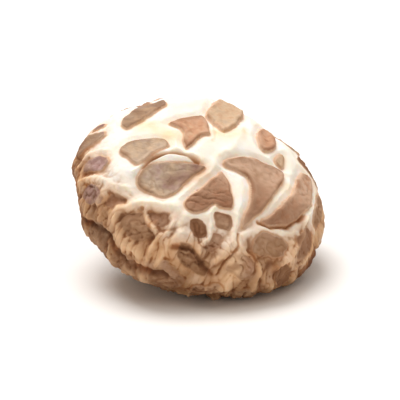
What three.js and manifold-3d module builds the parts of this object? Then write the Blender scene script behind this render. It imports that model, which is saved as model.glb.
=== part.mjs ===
// Dried shiitake mushroom, grown as one body. The domed cap has a brown skin that split into raised
// plates over pale flesh. Gills fan out inside the rolled-in rim, round a short stem with a cut end.
// Millimetres, +Z up. The origin is on the surface that the mushroom rests on, under the middle of
// its box. The rim touches that surface in front on the right, and the stem's cut end behind it.
import * as THREE from 'three';
import { mergeVertices } from 'three/addons/utils/BufferGeometryUtils.js';
import Module from 'manifold-3d';

const wasm = await Module();
wasm.setup();

// Driving dimensions of the cap, along its own axis, with the equator (its widest ring) at height 0
const CAP_RADIUS = 24.4;
const DOME_HEIGHT = 12.2;
const MARGIN_DEPTH = 8;
const RIM_RADIUS = 15.5;
const CURL_RADIUS = 2.2;
const CURL_TURN = THREE.MathUtils.degToRad(150);
const CAVITY_RADIUS = 19.6;
const CAVITY_ROOF = 3.4;
const CAVITY_SILL = -1.2;

// The cap isn't quite round: waves of its outline, each by count, share of the radius and phase
const LOBES = [[2, 0.012, 1.57], [3, 0.005, 1], [5, 0.005, 2.36]];
// Low swells of the skin: height in mm, waves per mm along u and v, phase. They fade before the rim.
const SWELLS = [[0.35, 0.21, 0.12, 0.8], [0.25, 0.27, -0.33, 2.1]];
const SWELL_FADE = [30, 40];
// Slow rise and dip of the rim: height in mm, count, phase, and where along the skin it sets in
const RIM_WAVE = { height: 0.55, count: 4, phase: 1.1, from: 26, to: 43 };
// The rim droops towards one bearing
const RIM_DROOP = { depth: 3.2, bearing: -2.3, from: 24, to: 40 };

// How the cap lies: it leans this far from upright, towards this bearing, after a turn on its axis
const LEAN = THREE.MathUtils.degToRad(25.5);
const BEARING = THREE.MathUtils.degToRad(-49.4);
const SPIN = THREE.MathUtils.degToRad(-10.3);
const CAP_CENTRE = new THREE.Vector3(0.225, -0.46, 14.6);

// Gills: long ones reach the stem, and a short one stands between each two of them
const LONG_GILLS = 24;
const GILL_EDGE = -1.4;
const GILL_ROOT = 2.5;
const GILL_TOP = 4.6;
const GILL_INNER = 4;
const GILL_MIDDLE = 16;
const GILL_OUTER = 21;
const SHORT_GILL_START = 9.5;
const GILL_SHARE = 0.42;
const GROOVE_SHARE = 0.28;

// Stem, from inside the flesh to its cut end, with its radius at each of its rings
const STEM_TOP = 5;
const STEM_LENGTH = 23;
const STEM_RADII = [6.4, 5.6, 5.1, 4.9, 4.9, 5.1, 5.3, 5.2];
const STEM_BEND = 1.4;
const STEM_FLATNESS = 0.06;
const STEM_SIDES = 20;

// Skin plates: how far they stand out at the apex and near the rim, and the cracks between them
const PLATE_RISE = 0.85;
const PLATE_RISE_LOW = 0.4;
const PLATE_FOOT = 1.8;
const PLATE_CREST = 2.4;
const PLATE_TAPER = 0.3;
const CRACK_WIDTH = 1.3;
const PLATE_RISE_START = 8;
const PLATE_RISE_END = 31;
const LAST_PLATE = 38;

const CAP_SIDES = 40;
const RING_STEP = 3.4;

// Outlines of the plates of the cap's front, on a flat map of its skin: (u, v) is the distance in
// mm from the apex along the skin, u towards the cap's own x axis and v towards its y axis
const FRONT_PLATES = [
  [[-10.2, 3.6], [-8.6, 5.8], [-7, 7.4], [-5, 8.6], [-4, 7.4], [-3.2, 5], [-2.5, 2.2], [-3.7, 1.6],
    [-4.4, -0.4], [-5.3, -3.2], [-6, -3.9], [-6.7, -2], [-7.4, 1], [-8, 2.6], [-9.2, 3.2]],
  [[-4.7, 9], [-4.3, 14.5], [-3.2, 20.5], [2.4, 20.5], [2.2, 15], [1.5, 9], [0.5, 6], [-0.4, 4.4], [-2, 6],
    [-3.6, 7.6]],
  [[-19.7, 4.5], [-18.8, 8], [-17.6, 11], [-15.9, 13.6], [-13.2, 14], [-12.5, 10.2], [-14.2, 7.6],
    [-15.2, 5], [-16.8, 2.2], [-17.8, -0.2], [-19.2, 0.4], [-19.8, 2.4]],
  [[-28.8, -3.8], [-27.6, -1], [-26.4, 2], [-24.8, 4], [-23.2, 3.2], [-22.5, 0.6], [-21.4, -2.6],
    [-22.3, -4.2], [-25, -5.2], [-27.4, -5.3]],
  [[-17.7, -6.6], [-16.8, -4.4], [-14.6, -3], [-12.2, -1.9], [-10, -2.1], [-9, -3.4], [-9.6, -5.2],
    [-10.8, -6.8], [-12.2, -9.5], [-13.4, -10.8], [-15, -10.2], [-16.6, -8.8], [-17.6, -7.8]],
  [[-26.2, -9.4], [-24.6, -7.4], [-22, -7.4], [-20.2, -8.2], [-18.7, -10.2], [-19.8, -12.2],
    [-21.8, -11.7], [-24, -10.9]],
  [[-12.8, -13.2], [-12.3, -11.2], [-10.8, -9.6], [-8.2, -8.5], [-5, -7.2], [-2.6, -6.3], [-0.9, -6.2],
    [-1.5, -7.8], [-2.7, -9.6], [-3.6, -11.6], [-4.2, -13.4], [-5, -15.1], [-6.4, -16.2], [-9.2, -16.4],
    [-11.2, -15.9], [-12.5, -14.9]],
  [[2, -6], [3.6, -7.5], [4.8, -9.5], [5.8, -11.7], [6.5, -14], [4.4, -14.4], [2.6, -14.6], [1.6, -16.2],
    [0.2, -17.4], [-1.7, -17.4], [-2.7, -16.2], [-2, -14.2], [-1, -12], [0, -9.6], [1, -7.5]],
  [[1.3, -4.2], [3, -1.9], [4.8, -0.2], [6.6, 0.8], [8.8, 1.4], [11.6, 2.8], [13.7, 2.8], [14.1, 1],
    [13.6, -1.6], [12.9, -4.2], [12.4, -7], [11.9, -9.6], [11.4, -11.6], [10.6, -13], [10.1, -14.8],
    [9.3, -16.3], [8.8, -14.6], [8.4, -11.6], [7.8, -9], [7, -6.4], [5.9, -4.9], [4.4, -4.5], [2.6, -4.9]],
  [[16.9, 5], [17.2, 8], [18.4, 9.4], [20.2, 8.8], [21.2, 6], [21.4, 2], [20.9, -1.2], [19.6, -4.4],
    [18.6, -7.4], [17.2, -9.6], [15.2, -11.6], [13.4, -12.7], [11.9, -12.8], [13.4, -10.6], [14, -8.4],
    [15, -5], [16.2, -1.6], [16.7, 2]],
  [[6.1, 8], [5.9, 12], [6.6, 16.4], [9.4, 16], [10.3, 12.2], [10.3, 9], [9.5, 6], [8.3, 4.6], [7.1, 5.4]],
  [[10.9, 5], [11.4, 8.4], [12.6, 8.6], [13.6, 5.4], [13.2, 4], [11.6, 4]],
  [[12.7, -14.7], [15.4, -13], [18, -11.8], [20, -12.2], [19.4, -15.4], [16.6, -18], [13.4, -19.2],
    [12.2, -17.8]],
  [[-25, -14.4], [-23, -13.6], [-20.8, -14.2], [-18.2, -17.2], [-19.6, -18.7], [-22.4, -18.2],
    [-24.2, -16.8]],
  [[21.6, -5], [25, -5.4], [26.4, -8.4], [25.4, -12.4], [22.4, -12.6], [20.6, -9]],
  [[22.6, 7.6], [24.6, 7], [25.8, 1.4], [25, -3.4], [22.4, -3.2], [22.3, 3]],
  [[20.6, -15.6], [24.2, -14.6], [26, -17], [23.6, -20.4], [20, -19.4]],
  [[9, -21], [12, -20.2], [15.4, -20], [16.6, -23.4], [12.8, -25.2], [9.4, -24.4]],
];

// Outlines of sunken patches of skin. They aren't raised, and plates of the sides keep clear of them.
const SUNKEN_PATCHES = [
  [[-0.4, -18.6], [1.4, -17.6], [3.1, -18.6], [3.8, -20], [3.1, -21.8], [1.7, -22.1], [0, -20.7]],
  [[3.3, -15.3], [6.7, -14.7], [7.6, -16.4], [7.8, -18.2], [5.8, -18.5], [4.3, -18], [3.4, -16.6]],
  [[4.7, -19], [7, -19.1], [7.4, -21], [6.7, -23], [4.9, -23.5], [4.4, -21]],
  [[-8.8, -19.9], [-7, -19.4], [-4.2, -18.8], [-3.9, -20.7], [-4.9, -22.5], [-7, -21.9], [-8, -21]],
  [[-13.8, -21.6], [-11.8, -20.1], [-9.4, -19.8], [-8.4, -21.4], [-6.6, -22.8], [-5.4, -23.5],
    [-6.6, -25.2], [-9, -25.8], [-11.6, -24.8], [-13.2, -23.2]],
  [[-18.9, -18.9], [-17.8, -17.4], [-16, -16.6], [-14.3, -17.4], [-13.4, -19], [-15.2, -20.2],
    [-17.6, -20]],
  [[-1.4, -23.2], [1.6, -23.2], [4, -24.8], [7.4, -25], [7.6, -27.6], [3, -28.4], [0, -27]],
];

const DRAWN_OUTLINES = [...FRONT_PLATES, ...SUNKEN_PATCHES];

// Plates of the sides and the back stand in rings round the apex, [distance, count], a seeded draw
// away from even spacing. Each keeps its crack to its neighbours. None is seeded on the bare flesh
// of the crown, given as spots [u, v, radius].
const PLATE_RINGS = [[11, 8], [18, 13], [25, 17], [32.5, 19]];
const PLATE_JITTER = 1.5;
const PLATE_REACH = 4.6;
const PLATE_CORNERS = 9;
const SMALLEST_PLATE = 7;
const BARE_FLESH = [[-11.5, 7, 6], [-19.5, -2, 2.5], [4.5, 10, 2.6], [0, 2, 5], [-15, -12, 3], [-23, 11, 5],
  [-17, 18, 4]];
const SEED = 20;

const TURN = 2 * Math.PI;
const QUARTER = Math.PI / 2;

// Seeded random numbers from 0 to 1, the same on each run
function makeDraw(seed) {
  let state = seed;
  return () => {
    state = (Math.imul(state, 1664525) + 1013904223) >>> 0;
    return state / 2 ** 32;
  };
}

// The cap's meridian, from the apex over the equator to the end of the rolled-in rim
function makeMeridian() {
  const steps = 120;
  const points = [];
  for (let i = 0; i <= steps; i += 1) {
    const t = (i / steps) * QUARTER;
    points.push(new THREE.Vector2(CAP_RADIUS * Math.sin(t), DOME_HEIGHT * Math.cos(t)));
  }
  for (let i = 1; i <= steps; i += 1) {
    const t = (i / steps) * QUARTER;
    const radius = RIM_RADIUS + (CAP_RADIUS - RIM_RADIUS) * Math.cos(t);
    points.push(new THREE.Vector2(radius, -MARGIN_DEPTH * Math.sin(t)));
  }
  for (let i = 1; i <= steps; i += 1) {
    const t = (i / steps) * CURL_TURN;
    const height = -MARGIN_DEPTH + CURL_RADIUS * (1 - Math.cos(t));
    points.push(new THREE.Vector2(RIM_RADIUS - CURL_RADIUS * Math.sin(t), height));
  }
  const along = [0];
  for (let i = 1; i < points.length; i += 1) {
    along.push(along[i - 1] + points[i].distanceTo(points[i - 1]));
  }
  return { points, along, length: along[along.length - 1] };
}

const MERIDIAN = makeMeridian();

// Radius, height and outward normal of the meridian at a distance from the apex
function meridianAt(distance) {
  const { points, along, length } = MERIDIAN;
  const wanted = THREE.MathUtils.clamp(distance, 0, length);
  let i = 1;
  while (i < along.length - 1 && along[i] < wanted) i += 1;
  const share = (wanted - along[i - 1]) / (along[i] - along[i - 1]);
  const point = points[i - 1].clone().lerp(points[i], share);
  const run = points[i].clone().sub(points[i - 1]).normalize();
  return { radius: point.x, height: point.y, normal: new THREE.Vector2(-run.y, run.x) };
}

// How much wider than round the cap is at a bearing, as a share of its radius
function lobes(bearing) {
  return LOBES.reduce((sum, [count, share, phase]) => sum + share * Math.cos(count * bearing + phase), 0);
}

// Height of the skin's swells at a place on the map, in mm
function swell(u, v) {
  const fade = 1 - THREE.MathUtils.smoothstep(Math.hypot(u, v), ...SWELL_FADE);
  const waves = SWELLS.reduce((sum, [height, perU, perV, phase]) => (
    sum + height * Math.sin(perU * u + perV * v + phase)), 0);
  return fade * waves;
}

// How far the rim rises at a place, negative where it droops
function rimWave(distance, bearing) {
  const { height, count, phase, from, to } = RIM_WAVE;
  const wave = height * THREE.MathUtils.smoothstep(distance, from, to) * Math.sin(count * bearing + phase);
  const side = Math.max(Math.cos(bearing - RIM_DROOP.bearing), 0) ** 2;
  return wave - RIM_DROOP.depth * THREE.MathUtils.smoothstep(distance, RIM_DROOP.from, RIM_DROOP.to) * side;
}

// A point of the cap in its own frame: map place (u, v), lifted from the skin along its normal
function capPoint(u, v, lift) {
  const distance = Math.hypot(u, v);
  const bearing = Math.atan2(v, u);
  const { radius, height, normal } = meridianAt(distance);
  const out = lift + swell(u, v);
  const reach = (radius + out * normal.x) * (1 + lobes(bearing));
  return new THREE.Vector3(
    reach * Math.cos(bearing),
    reach * Math.sin(bearing),
    height + out * normal.y + rimWave(distance, bearing),
  );
}

// How far a plate stands out from the flesh, less and less towards the rim
function plateRise(distance) {
  const share = THREE.MathUtils.smoothstep(distance, PLATE_RISE_START, PLATE_RISE_END);
  return THREE.MathUtils.lerp(PLATE_RISE, PLATE_RISE_LOW, share);
}

// A closed solid from a stack of rings of equal count, first and last closed by a middle point
function ringSolid(rings, first, last) {
  const sides = rings[0].length;
  const points = rings.flat();
  const faces = [];
  for (let r = 0; r + 1 < rings.length; r += 1) {
    for (let s = 0; s < sides; s += 1) {
      const a = r * sides + s;
      const b = r * sides + ((s + 1) % sides);
      faces.push(a, a + sides, b, b, a + sides, b + sides);
    }
  }
  const firstIndex = points.push(first) - 1;
  const lastIndex = points.push(last) - 1;
  const lastRing = (rings.length - 1) * sides;
  for (let s = 0; s < sides; s += 1) {
    const next = (s + 1) % sides;
    faces.push(firstIndex, s, next, lastIndex, lastRing + next, lastRing + s);
  }
  const geometry = new THREE.BufferGeometry().setFromPoints(points);
  geometry.setIndex(faces);
  return geometry;
}

// Boolean solid from a three.js geometry
function toSolid(geometry) {
  const bare = geometry.clone();
  bare.deleteAttribute('normal');
  bare.deleteAttribute('uv');
  const merged = mergeVertices(bare, 1e-5);
  return new wasm.Manifold(new wasm.Mesh({
    numProp: 3,
    vertProperties: new Float32Array(merged.attributes.position.array),
    triVerts: new Uint32Array(merged.index.array),
  }));
}

// three.js geometry from a boolean solid
function toGeometry(solid) {
  const { vertProperties, triVerts } = solid.getMesh();
  const geometry = new THREE.BufferGeometry();
  geometry.setAttribute('position', new THREE.BufferAttribute(new Float32Array(vertProperties), 3));
  geometry.setIndex(new THREE.BufferAttribute(new Uint32Array(triVerts), 1));
  return geometry;
}

// One ring of the cap's skin, at a distance from the apex and lifted by so much
function skinRing(distance, lift) {
  return Array.from({ length: CAP_SIDES }, (_, s) => {
    const bearing = (s / CAP_SIDES) * TURN;
    return capPoint(distance * Math.cos(bearing), distance * Math.sin(bearing), lift);
  });
}

// One plain round ring about the cap's axis
function plainRing(radius, height) {
  return Array.from({ length: CAP_SIDES }, (_, s) => {
    const bearing = (s / CAP_SIDES) * TURN;
    const reach = radius * (1 + lobes(bearing));
    return new THREE.Vector3(reach * Math.cos(bearing), reach * Math.sin(bearing), height);
  });
}

// The flesh of the cap: dome, margin and rolled-in rim, with the cavity that holds the gills
function capFlesh() {
  const count = Math.round(MERIDIAN.length / RING_STEP);
  const rings = [];
  for (let i = 1; i <= count; i += 1) {
    rings.push(skinRing((i / count) * MERIDIAN.length, 0));
  }
  rings.push(plainRing((RIM_RADIUS + CAVITY_RADIUS) / 2, CAVITY_SILL - CURL_RADIUS / 2));
  rings.push(plainRing(CAVITY_RADIUS, CAVITY_SILL));
  rings.push(plainRing(CAVITY_RADIUS, CAVITY_ROOF));
  return ringSolid(rings, capPoint(0, 0, 0), new THREE.Vector3(0, 0, CAVITY_ROOF));
}

// The level that the plates' tops lie on, closed below inside the flesh
function skinLevel() {
  const count = Math.round(LAST_PLATE / RING_STEP);
  const rings = [];
  for (let i = 1; i <= count; i += 1) {
    const distance = (i / count) * (LAST_PLATE + RING_STEP);
    rings.push(skinRing(distance, plateRise(distance)));
  }
  return ringSolid(rings, capPoint(0, 0, PLATE_RISE), new THREE.Vector3(0, 0, -MARGIN_DEPTH));
}

// Middle of an outline on the map
function middle(outline) {
  const sum = outline.reduce((total, [u, v]) => [total[0] + u, total[1] + v], [0, 0]);
  return [sum[0] / outline.length, sum[1] / outline.length];
}

// Area inside an outline, positive where it runs anticlockwise
function area(outline) {
  return outline.reduce((total, [u, v], i) => {
    const [nextU, nextV] = outline[(i + 1) % outline.length];
    return total + (u * nextV - nextU * v) / 2;
  }, 0);
}

// A plate's column, which cuts the plate's outline out of the skin level
function plateColumn(outline) {
  const turned = area(outline) > 0 ? outline : [...outline].reverse();
  const [midU, midV] = middle(turned);
  const low = turned.map(([u, v]) => capPoint(u, v, -PLATE_FOOT));
  const high = turned.map(([u, v]) => {
    const away = Math.hypot(u - midU, v - midV);
    const share = PLATE_TAPER / away;
    return capPoint(u + (midU - u) * share, v + (midV - v) * share, PLATE_CREST);
  });
  const count = turned.length;
  const faces = [];
  for (let i = 0; i < count; i += 1) {
    const next = (i + 1) % count;
    faces.push(i, next, count + i, next, count + next, count + i);
  }
  const contour = turned.map(([u, v]) => new THREE.Vector2(u, v));
  for (const [a, b, c] of THREE.ShapeUtils.triangulateShape(contour, [])) {
    faces.push(a, c, b, count + a, count + b, count + c);
  }
  const geometry = new THREE.BufferGeometry().setFromPoints([...low, ...high]);
  geometry.setIndex(faces);
  return geometry;
}

// The part of an outline on the near side of a line through a point, with its normal pointing off
function clipOutline(outline, [pointU, pointV], [normalU, normalV]) {
  const kept = [];
  const offOf = ([u, v]) => (u - pointU) * normalU + (v - pointV) * normalV;
  outline.forEach((corner, i) => {
    const next = outline[(i + 1) % outline.length];
    const here = offOf(corner);
    const there = offOf(next);
    if (here <= 0) kept.push(corner);
    if (here * there < 0) {
      const share = here / (here - there);
      kept.push([corner[0] + (next[0] - corner[0]) * share, corner[1] + (next[1] - corner[1]) * share]);
    }
  });
  return kept;
}

// The point of an outline nearest to a place on the map
function nearestOn(outline, [u, v]) {
  let best = [0, 0];
  let bestAway = Infinity;
  outline.forEach(([startU, startV], i) => {
    const [endU, endV] = outline[(i + 1) % outline.length];
    const runU = endU - startU;
    const runV = endV - startV;
    const along = ((u - startU) * runU + (v - startV) * runV) / (runU * runU + runV * runV);
    const share = THREE.MathUtils.clamp(along, 0, 1);
    const point = [startU + runU * share, startV + runV * share];
    const away = Math.hypot(point[0] - u, point[1] - v);
    if (away < bestAway) {
      best = point;
      bestAway = away;
    }
  });
  return { point: best, away: bestAway };
}

// Outlines of the plates that fill the sides and the back, by the rule above
function hiddenPlates() {
  const draw = makeDraw(SEED);
  const seeds = [];
  for (const [distance, count] of PLATE_RINGS) {
    const start = draw() * TURN;
    for (let i = 0; i < count; i += 1) {
      const bearing = start + (i / count) * TURN;
      const u = distance * Math.cos(bearing) + (draw() - 0.5) * 2 * PLATE_JITTER;
      const v = distance * Math.sin(bearing) + (draw() - 0.5) * 2 * PLATE_JITTER;
      const bare = BARE_FLESH.some(([spotU, spotV, radius]) => Math.hypot(u - spotU, v - spotV) < radius);
      const clear = DRAWN_OUTLINES.every((outline) => nearestOn(outline, [u, v]).away > CRACK_WIDTH + 1)
        && !DRAWN_OUTLINES.some((outline) => inside(outline, [u, v]));
      if (clear && !bare && Math.hypot(u, v) < LAST_PLATE) seeds.push([u, v]);
    }
  }
  return seeds.map((seed) => cellRound(seed, seeds)).filter((cell) => area(cell) > SMALLEST_PLATE);
}

// Whether a place on the map is inside an outline
function inside(outline, [u, v]) {
  let within = false;
  outline.forEach(([startU, startV], i) => {
    const [endU, endV] = outline[(i + 1) % outline.length];
    if ((startV > v) !== (endV > v) && u < startU + ((v - startV) / (endV - startV)) * (endU - startU)) {
      within = !within;
    }
  });
  return within;
}

// One plate round its seed: a many-sided disc, cut back to leave its cracks
function cellRound(seed, seeds) {
  let cell = Array.from({ length: PLATE_CORNERS }, (_, i) => {
    const bearing = (i / PLATE_CORNERS) * TURN;
    return [seed[0] + PLATE_REACH * Math.cos(bearing), seed[1] + PLATE_REACH * Math.sin(bearing)];
  });
  const cut = (point, gap) => {
    const away = Math.hypot(point[0] - seed[0], point[1] - seed[1]);
    const normal = [(point[0] - seed[0]) / away, (point[1] - seed[1]) / away];
    const edge = [point[0] - normal[0] * gap, point[1] - normal[1] * gap];
    cell = clipOutline(cell, edge, normal);
  };
  for (const other of seeds) {
    if (other !== seed) cut([(seed[0] + other[0]) / 2, (seed[1] + other[1]) / 2], CRACK_WIDTH / 2);
  }
  for (const outline of DRAWN_OUTLINES) {
    cut(nearestOn(outline, seed).point, CRACK_WIDTH);
  }
  return cell;
}

// The gills: a disc whose underside is folded into blades, thick enough to bury in the flesh
function gillDisc() {
  const sides = LONG_GILLS * 8;
  const radii = [GILL_INNER, SHORT_GILL_START, SHORT_GILL_START + 1, GILL_MIDDLE, GILL_OUTER];
  const pitch = TURN / (LONG_GILLS * 2);
  const corners = [0, GILL_SHARE, GILL_SHARE + (1 - GILL_SHARE - GROOVE_SHARE) / 2,
    1 - (1 - GILL_SHARE - GROOVE_SHARE) / 2];
  const rings = radii.map((radius) => Array.from({ length: sides }, (_, s) => {
    const blade = Math.floor(s / 4);
    const corner = s % 4;
    const bearing = -(blade + corners[corner]) * pitch;
    const long = blade % 2 === 0 || radius > SHORT_GILL_START;
    const height = corner < 2 && long ? GILL_EDGE : GILL_ROOT;
    return new THREE.Vector3(radius * Math.cos(bearing), radius * Math.sin(bearing), height);
  }));
  rings.push(rings[rings.length - 1].map((point) => new THREE.Vector3(point.x, point.y, GILL_TOP)));
  return ringSolid(rings, new THREE.Vector3(0, 0, GILL_ROOT), new THREE.Vector3(0, 0, GILL_TOP));
}

// The stem, bent a little on its way to the cut end
function stem() {
  const last = STEM_RADII.length - 1;
  const rings = STEM_RADII.map((radius, i) => {
    const share = i / last;
    const shift = STEM_BEND * Math.sin(share * QUARTER) ** 2;
    const height = STEM_TOP - share * STEM_LENGTH;
    return Array.from({ length: STEM_SIDES }, (_, s) => {
      const bearing = (s / STEM_SIDES) * TURN;
      const reach = radius * (1 + STEM_FLATNESS * Math.cos(2 * bearing + share));
      return new THREE.Vector3(shift + reach * Math.cos(bearing), reach * Math.sin(bearing), height);
    });
  });
  const cutEnd = new THREE.Vector3(STEM_BEND, 0, STEM_TOP - STEM_LENGTH);
  return ringSolid(rings, new THREE.Vector3(0, 0, STEM_TOP), cutEnd);
}

// What is below the surface that the mushroom rests on is cut off flat
function below() {
  const size = 200;
  return new THREE.BoxGeometry(size, size, size).translate(0, 0, -size / 2);
}

const lie = new THREE.Matrix4().makeTranslation(CAP_CENTRE)
  .multiply(new THREE.Matrix4().makeRotationZ(BEARING))
  .multiply(new THREE.Matrix4().makeRotationY(LEAN))
  .multiply(new THREE.Matrix4().makeRotationZ(SPIN - BEARING));

const columns = [...FRONT_PLATES, ...hiddenPlates()].map((outline) => toSolid(plateColumn(outline)));
const plates = columns.reduce((joined, column) => joined.add(column)).intersect(toSolid(skinLevel()));
const body = toSolid(capFlesh()).add(plates).add(toSolid(gillDisc())).add(toSolid(stem()));
const lying = toSolid(toGeometry(body).applyMatrix4(lie)).subtract(toSolid(below()));

const mushroom = new THREE.Mesh(
  toGeometry(lying),
  new THREE.MeshStandardMaterial({ color: '#a97f55', roughness: 0.85, metalness: 0 }),
);
mushroom.name = 'mushroom';

const part = new THREE.Group();
part.add(mushroom);
export default part;
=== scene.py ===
"""Visual model of a dried shiitake mushroom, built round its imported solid.

The mushroom lies tilted, on the rim of its cap and on the cut end of its stem. The cap is one fine
mesh, and its plates of skin, cracks, wrinkles and creases are real relief. The gills and the stem
under it are meshes of their own. Sizes are in millimetres until a mesh is placed, then in metres.
"""

import logging
import math
from collections.abc import Iterator, Sequence
from dataclasses import dataclass, field
from enum import Enum
from typing import Any

import bpy
import numpy as np
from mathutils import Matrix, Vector


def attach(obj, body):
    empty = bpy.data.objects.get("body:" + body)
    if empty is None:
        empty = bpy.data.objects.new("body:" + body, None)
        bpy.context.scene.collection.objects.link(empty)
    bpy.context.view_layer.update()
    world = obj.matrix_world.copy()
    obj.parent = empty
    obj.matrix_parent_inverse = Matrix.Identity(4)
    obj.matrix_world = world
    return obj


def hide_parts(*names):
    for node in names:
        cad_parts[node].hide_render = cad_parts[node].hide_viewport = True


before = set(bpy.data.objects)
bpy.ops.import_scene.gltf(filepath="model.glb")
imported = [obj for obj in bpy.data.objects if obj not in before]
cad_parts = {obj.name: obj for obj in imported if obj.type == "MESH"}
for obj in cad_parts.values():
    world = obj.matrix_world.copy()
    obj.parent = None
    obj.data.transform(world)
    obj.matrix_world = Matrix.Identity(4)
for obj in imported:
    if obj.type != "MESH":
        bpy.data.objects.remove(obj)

LOG = logging.getLogger("mushroom")
NODE = "mushroom"
BODY = "root"
MM = 0.001
TURN = 2.0 * math.pi
# Bearing round the cap's own axis that faces the camera
FRONT_BEARING = -1.28

Outline = tuple[tuple[float, float], ...]

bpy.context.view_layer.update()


# Small tools


def linear(hex_colour: str) -> tuple[float, float, float, float]:
    """Turn an sRGB hex colour into linear light.

    Args:
        hex_colour: The colour as "#RRGGBB".

    Returns:
        Linear red, green and blue, and an alpha of 1.
    """
    channels = [int(hex_colour[i : i + 2], 16) / 255.0 for i in (1, 3, 5)]
    light = [c / 12.92 if c <= 0.04045 else ((c + 0.055) / 1.055) ** 2.4 for c in channels]
    return (light[0], light[1], light[2], 1.0)


def smoothstep(low: float, high: float, value: np.ndarray) -> np.ndarray:
    """Ease from 0 to 1 between two values.

    Args:
        low: Where the result starts to leave 0.
        high: Where the result reaches 1.
        value: The values to ease.

    Returns:
        The eased values.
    """
    share = np.clip((value - low) / (high - low), 0.0, 1.0)
    return share * share * (3.0 - 2.0 * share)


def bell(middle: float, width: float, value: np.ndarray) -> np.ndarray:
    """Rise to 1 round one value and fall off on both sides.

    Args:
        middle: Where the result is 1.
        width: How far from there it falls to about a third.
        value: The values to weigh.

    Returns:
        The weights, from 0 to 1.
    """
    return np.exp(-(((value - middle) / width) ** 2))


def around(reach: np.ndarray, angle: np.ndarray, height: np.ndarray) -> np.ndarray:
    """Place points round the upright axis.

    Args:
        reach: Their distances from the axis.
        angle: Their angles round it.
        height: Their heights.

    Returns:
        Rows of x, y and z.
    """
    return np.stack([reach * np.cos(angle), reach * np.sin(angle), height], axis=1)


def ring_count(radius: float, step: float) -> int:
    """Give how many vertices a ring has at a given step between them."""
    return max(6, round(TURN * radius / step))


def directions(count: int) -> np.ndarray:
    """Spread unit vectors evenly over a sphere, on a golden spiral.

    Args:
        count: How many vectors.

    Returns:
        An array of count rows of x, y and z.
    """
    index = np.arange(count) + 0.5
    height = 1.0 - 2.0 * index / count
    return around(np.sqrt(1.0 - height**2), index * math.pi * (3.0 - math.sqrt(5.0)), height)


GRADIENTS = directions(32)
# Large odd factors that scatter a cell's whole-number place into the number of a gradient
CELL_FACTORS = np.array([374761393, 668265263, 2147483647], dtype=np.int64)
SEED_FACTOR = 97531
MIX_FACTOR = 1274126177
LOW_BITS = 0xFFFFFFFF
# Brings the strongest values of the noise near to -1 and 1
NOISE_GAIN = 1.6


def noise(points: np.ndarray, size: float, seed: int) -> np.ndarray:
    """Smooth seeded gradient noise in space.

    Args:
        points: Places as rows of x, y and z.
        size: Width of one lump, in the points' unit.
        seed: Number of the noise field.

    Returns:
        One value for each point, from about -1 to 1.
    """
    scaled = points / size
    cell = np.floor(scaled).astype(np.int64)
    inner = scaled - cell
    ease = inner**3 * (inner * (inner * 6.0 - 15.0) + 10.0)
    total = np.zeros(len(points))
    for corner in np.ndindex(2, 2, 2):
        mixed = ((cell + np.array(corner)) @ CELL_FACTORS + seed * SEED_FACTOR) & LOW_BITS
        mixed = ((mixed ^ (mixed >> 13)) * MIX_FACTOR) & LOW_BITS
        gradient = GRADIENTS[(mixed ^ (mixed >> 16)) % len(GRADIENTS)]
        away = inner - np.array(corner)
        weight = np.prod(np.where(np.array(corner) == 1, ease, 1.0 - ease), axis=1)
        total += weight * np.einsum("ij,ij->i", gradient, away)
    return total * NOISE_GAIN


def ridges(value: np.ndarray, width: float) -> np.ndarray:
    """Make sharp lines where a noise passes through 0.

    Args:
        value: Noise values.
        width: How far from 0 a line reaches.

    Returns:
        1 on the lines, falling to 0 beside them.
    """
    return np.clip(1.0 - np.abs(value) / width, 0.0, 1.0)


def connect(tree: bpy.types.NodeTree, node: bpy.types.Node, links: dict[Any, Any]) -> None:
    """Fill a node's inputs.

    Args:
        tree: The node tree.
        node: The node.
        links: By input name or number, a socket to link from or a value to set.
    """
    for key, value in links.items():
        socket = node.inputs[key]
        if isinstance(value, bpy.types.NodeSocket):
            tree.links.new(value, socket)
        else:
            socket.default_value = value


def add_node(
    tree: bpy.types.NodeTree, kind: str, settings: dict[str, Any], links: dict[Any, Any]
) -> bpy.types.Node:
    """Add a node with its settings and its links.

    Args:
        tree: The node tree.
        kind: The node's type.
        settings: Attribute values of the node.
        links: By input name or number, a socket to link from or a value to set.

    Returns:
        The new node.
    """
    node = tree.nodes.new(kind)
    for name, value in settings.items():
        setattr(node, name, value)
    connect(tree, node, links)
    return node


def make_object(
    name: str, points: np.ndarray, faces: Sequence[Sequence[int]], smooth: bool = True
) -> bpy.types.Object:
    """Make a mesh object in the scene.

    Args:
        name: The object's name.
        points: Its vertices in metres.
        faces: Its faces as lists of vertex numbers.
        smooth: Whether it is shaded smooth.

    Returns:
        The new object.
    """
    mesh = bpy.data.meshes.new(name)
    mesh.from_pydata(points.tolist(), [], [tuple(int(corner) for corner in face) for face in faces])
    mesh.validate()
    mesh.polygons.foreach_set("use_smooth", [smooth] * len(mesh.polygons))
    mesh.update()
    piece = bpy.data.objects.new(name, mesh)
    bpy.context.scene.collection.objects.link(piece)
    return piece


def corner_normals(points: np.ndarray, faces: np.ndarray) -> np.ndarray:
    """Average the normals of the triangles round each vertex.

    Args:
        points: Vertices.
        faces: Rows of three vertex numbers.

    Returns:
        A unit normal for each vertex.
    """
    a, b, c = (points[faces[:, k]] for k in range(3))
    face_normals = np.cross(b - a, c - a)
    total = np.zeros_like(points)
    for k in range(3):
        for axis in range(3):
            total[:, axis] += np.bincount(faces[:, k], face_normals[:, axis], len(points))
    return total / np.maximum(np.linalg.norm(total, axis=1), 1e-15)[:, None]


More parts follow.
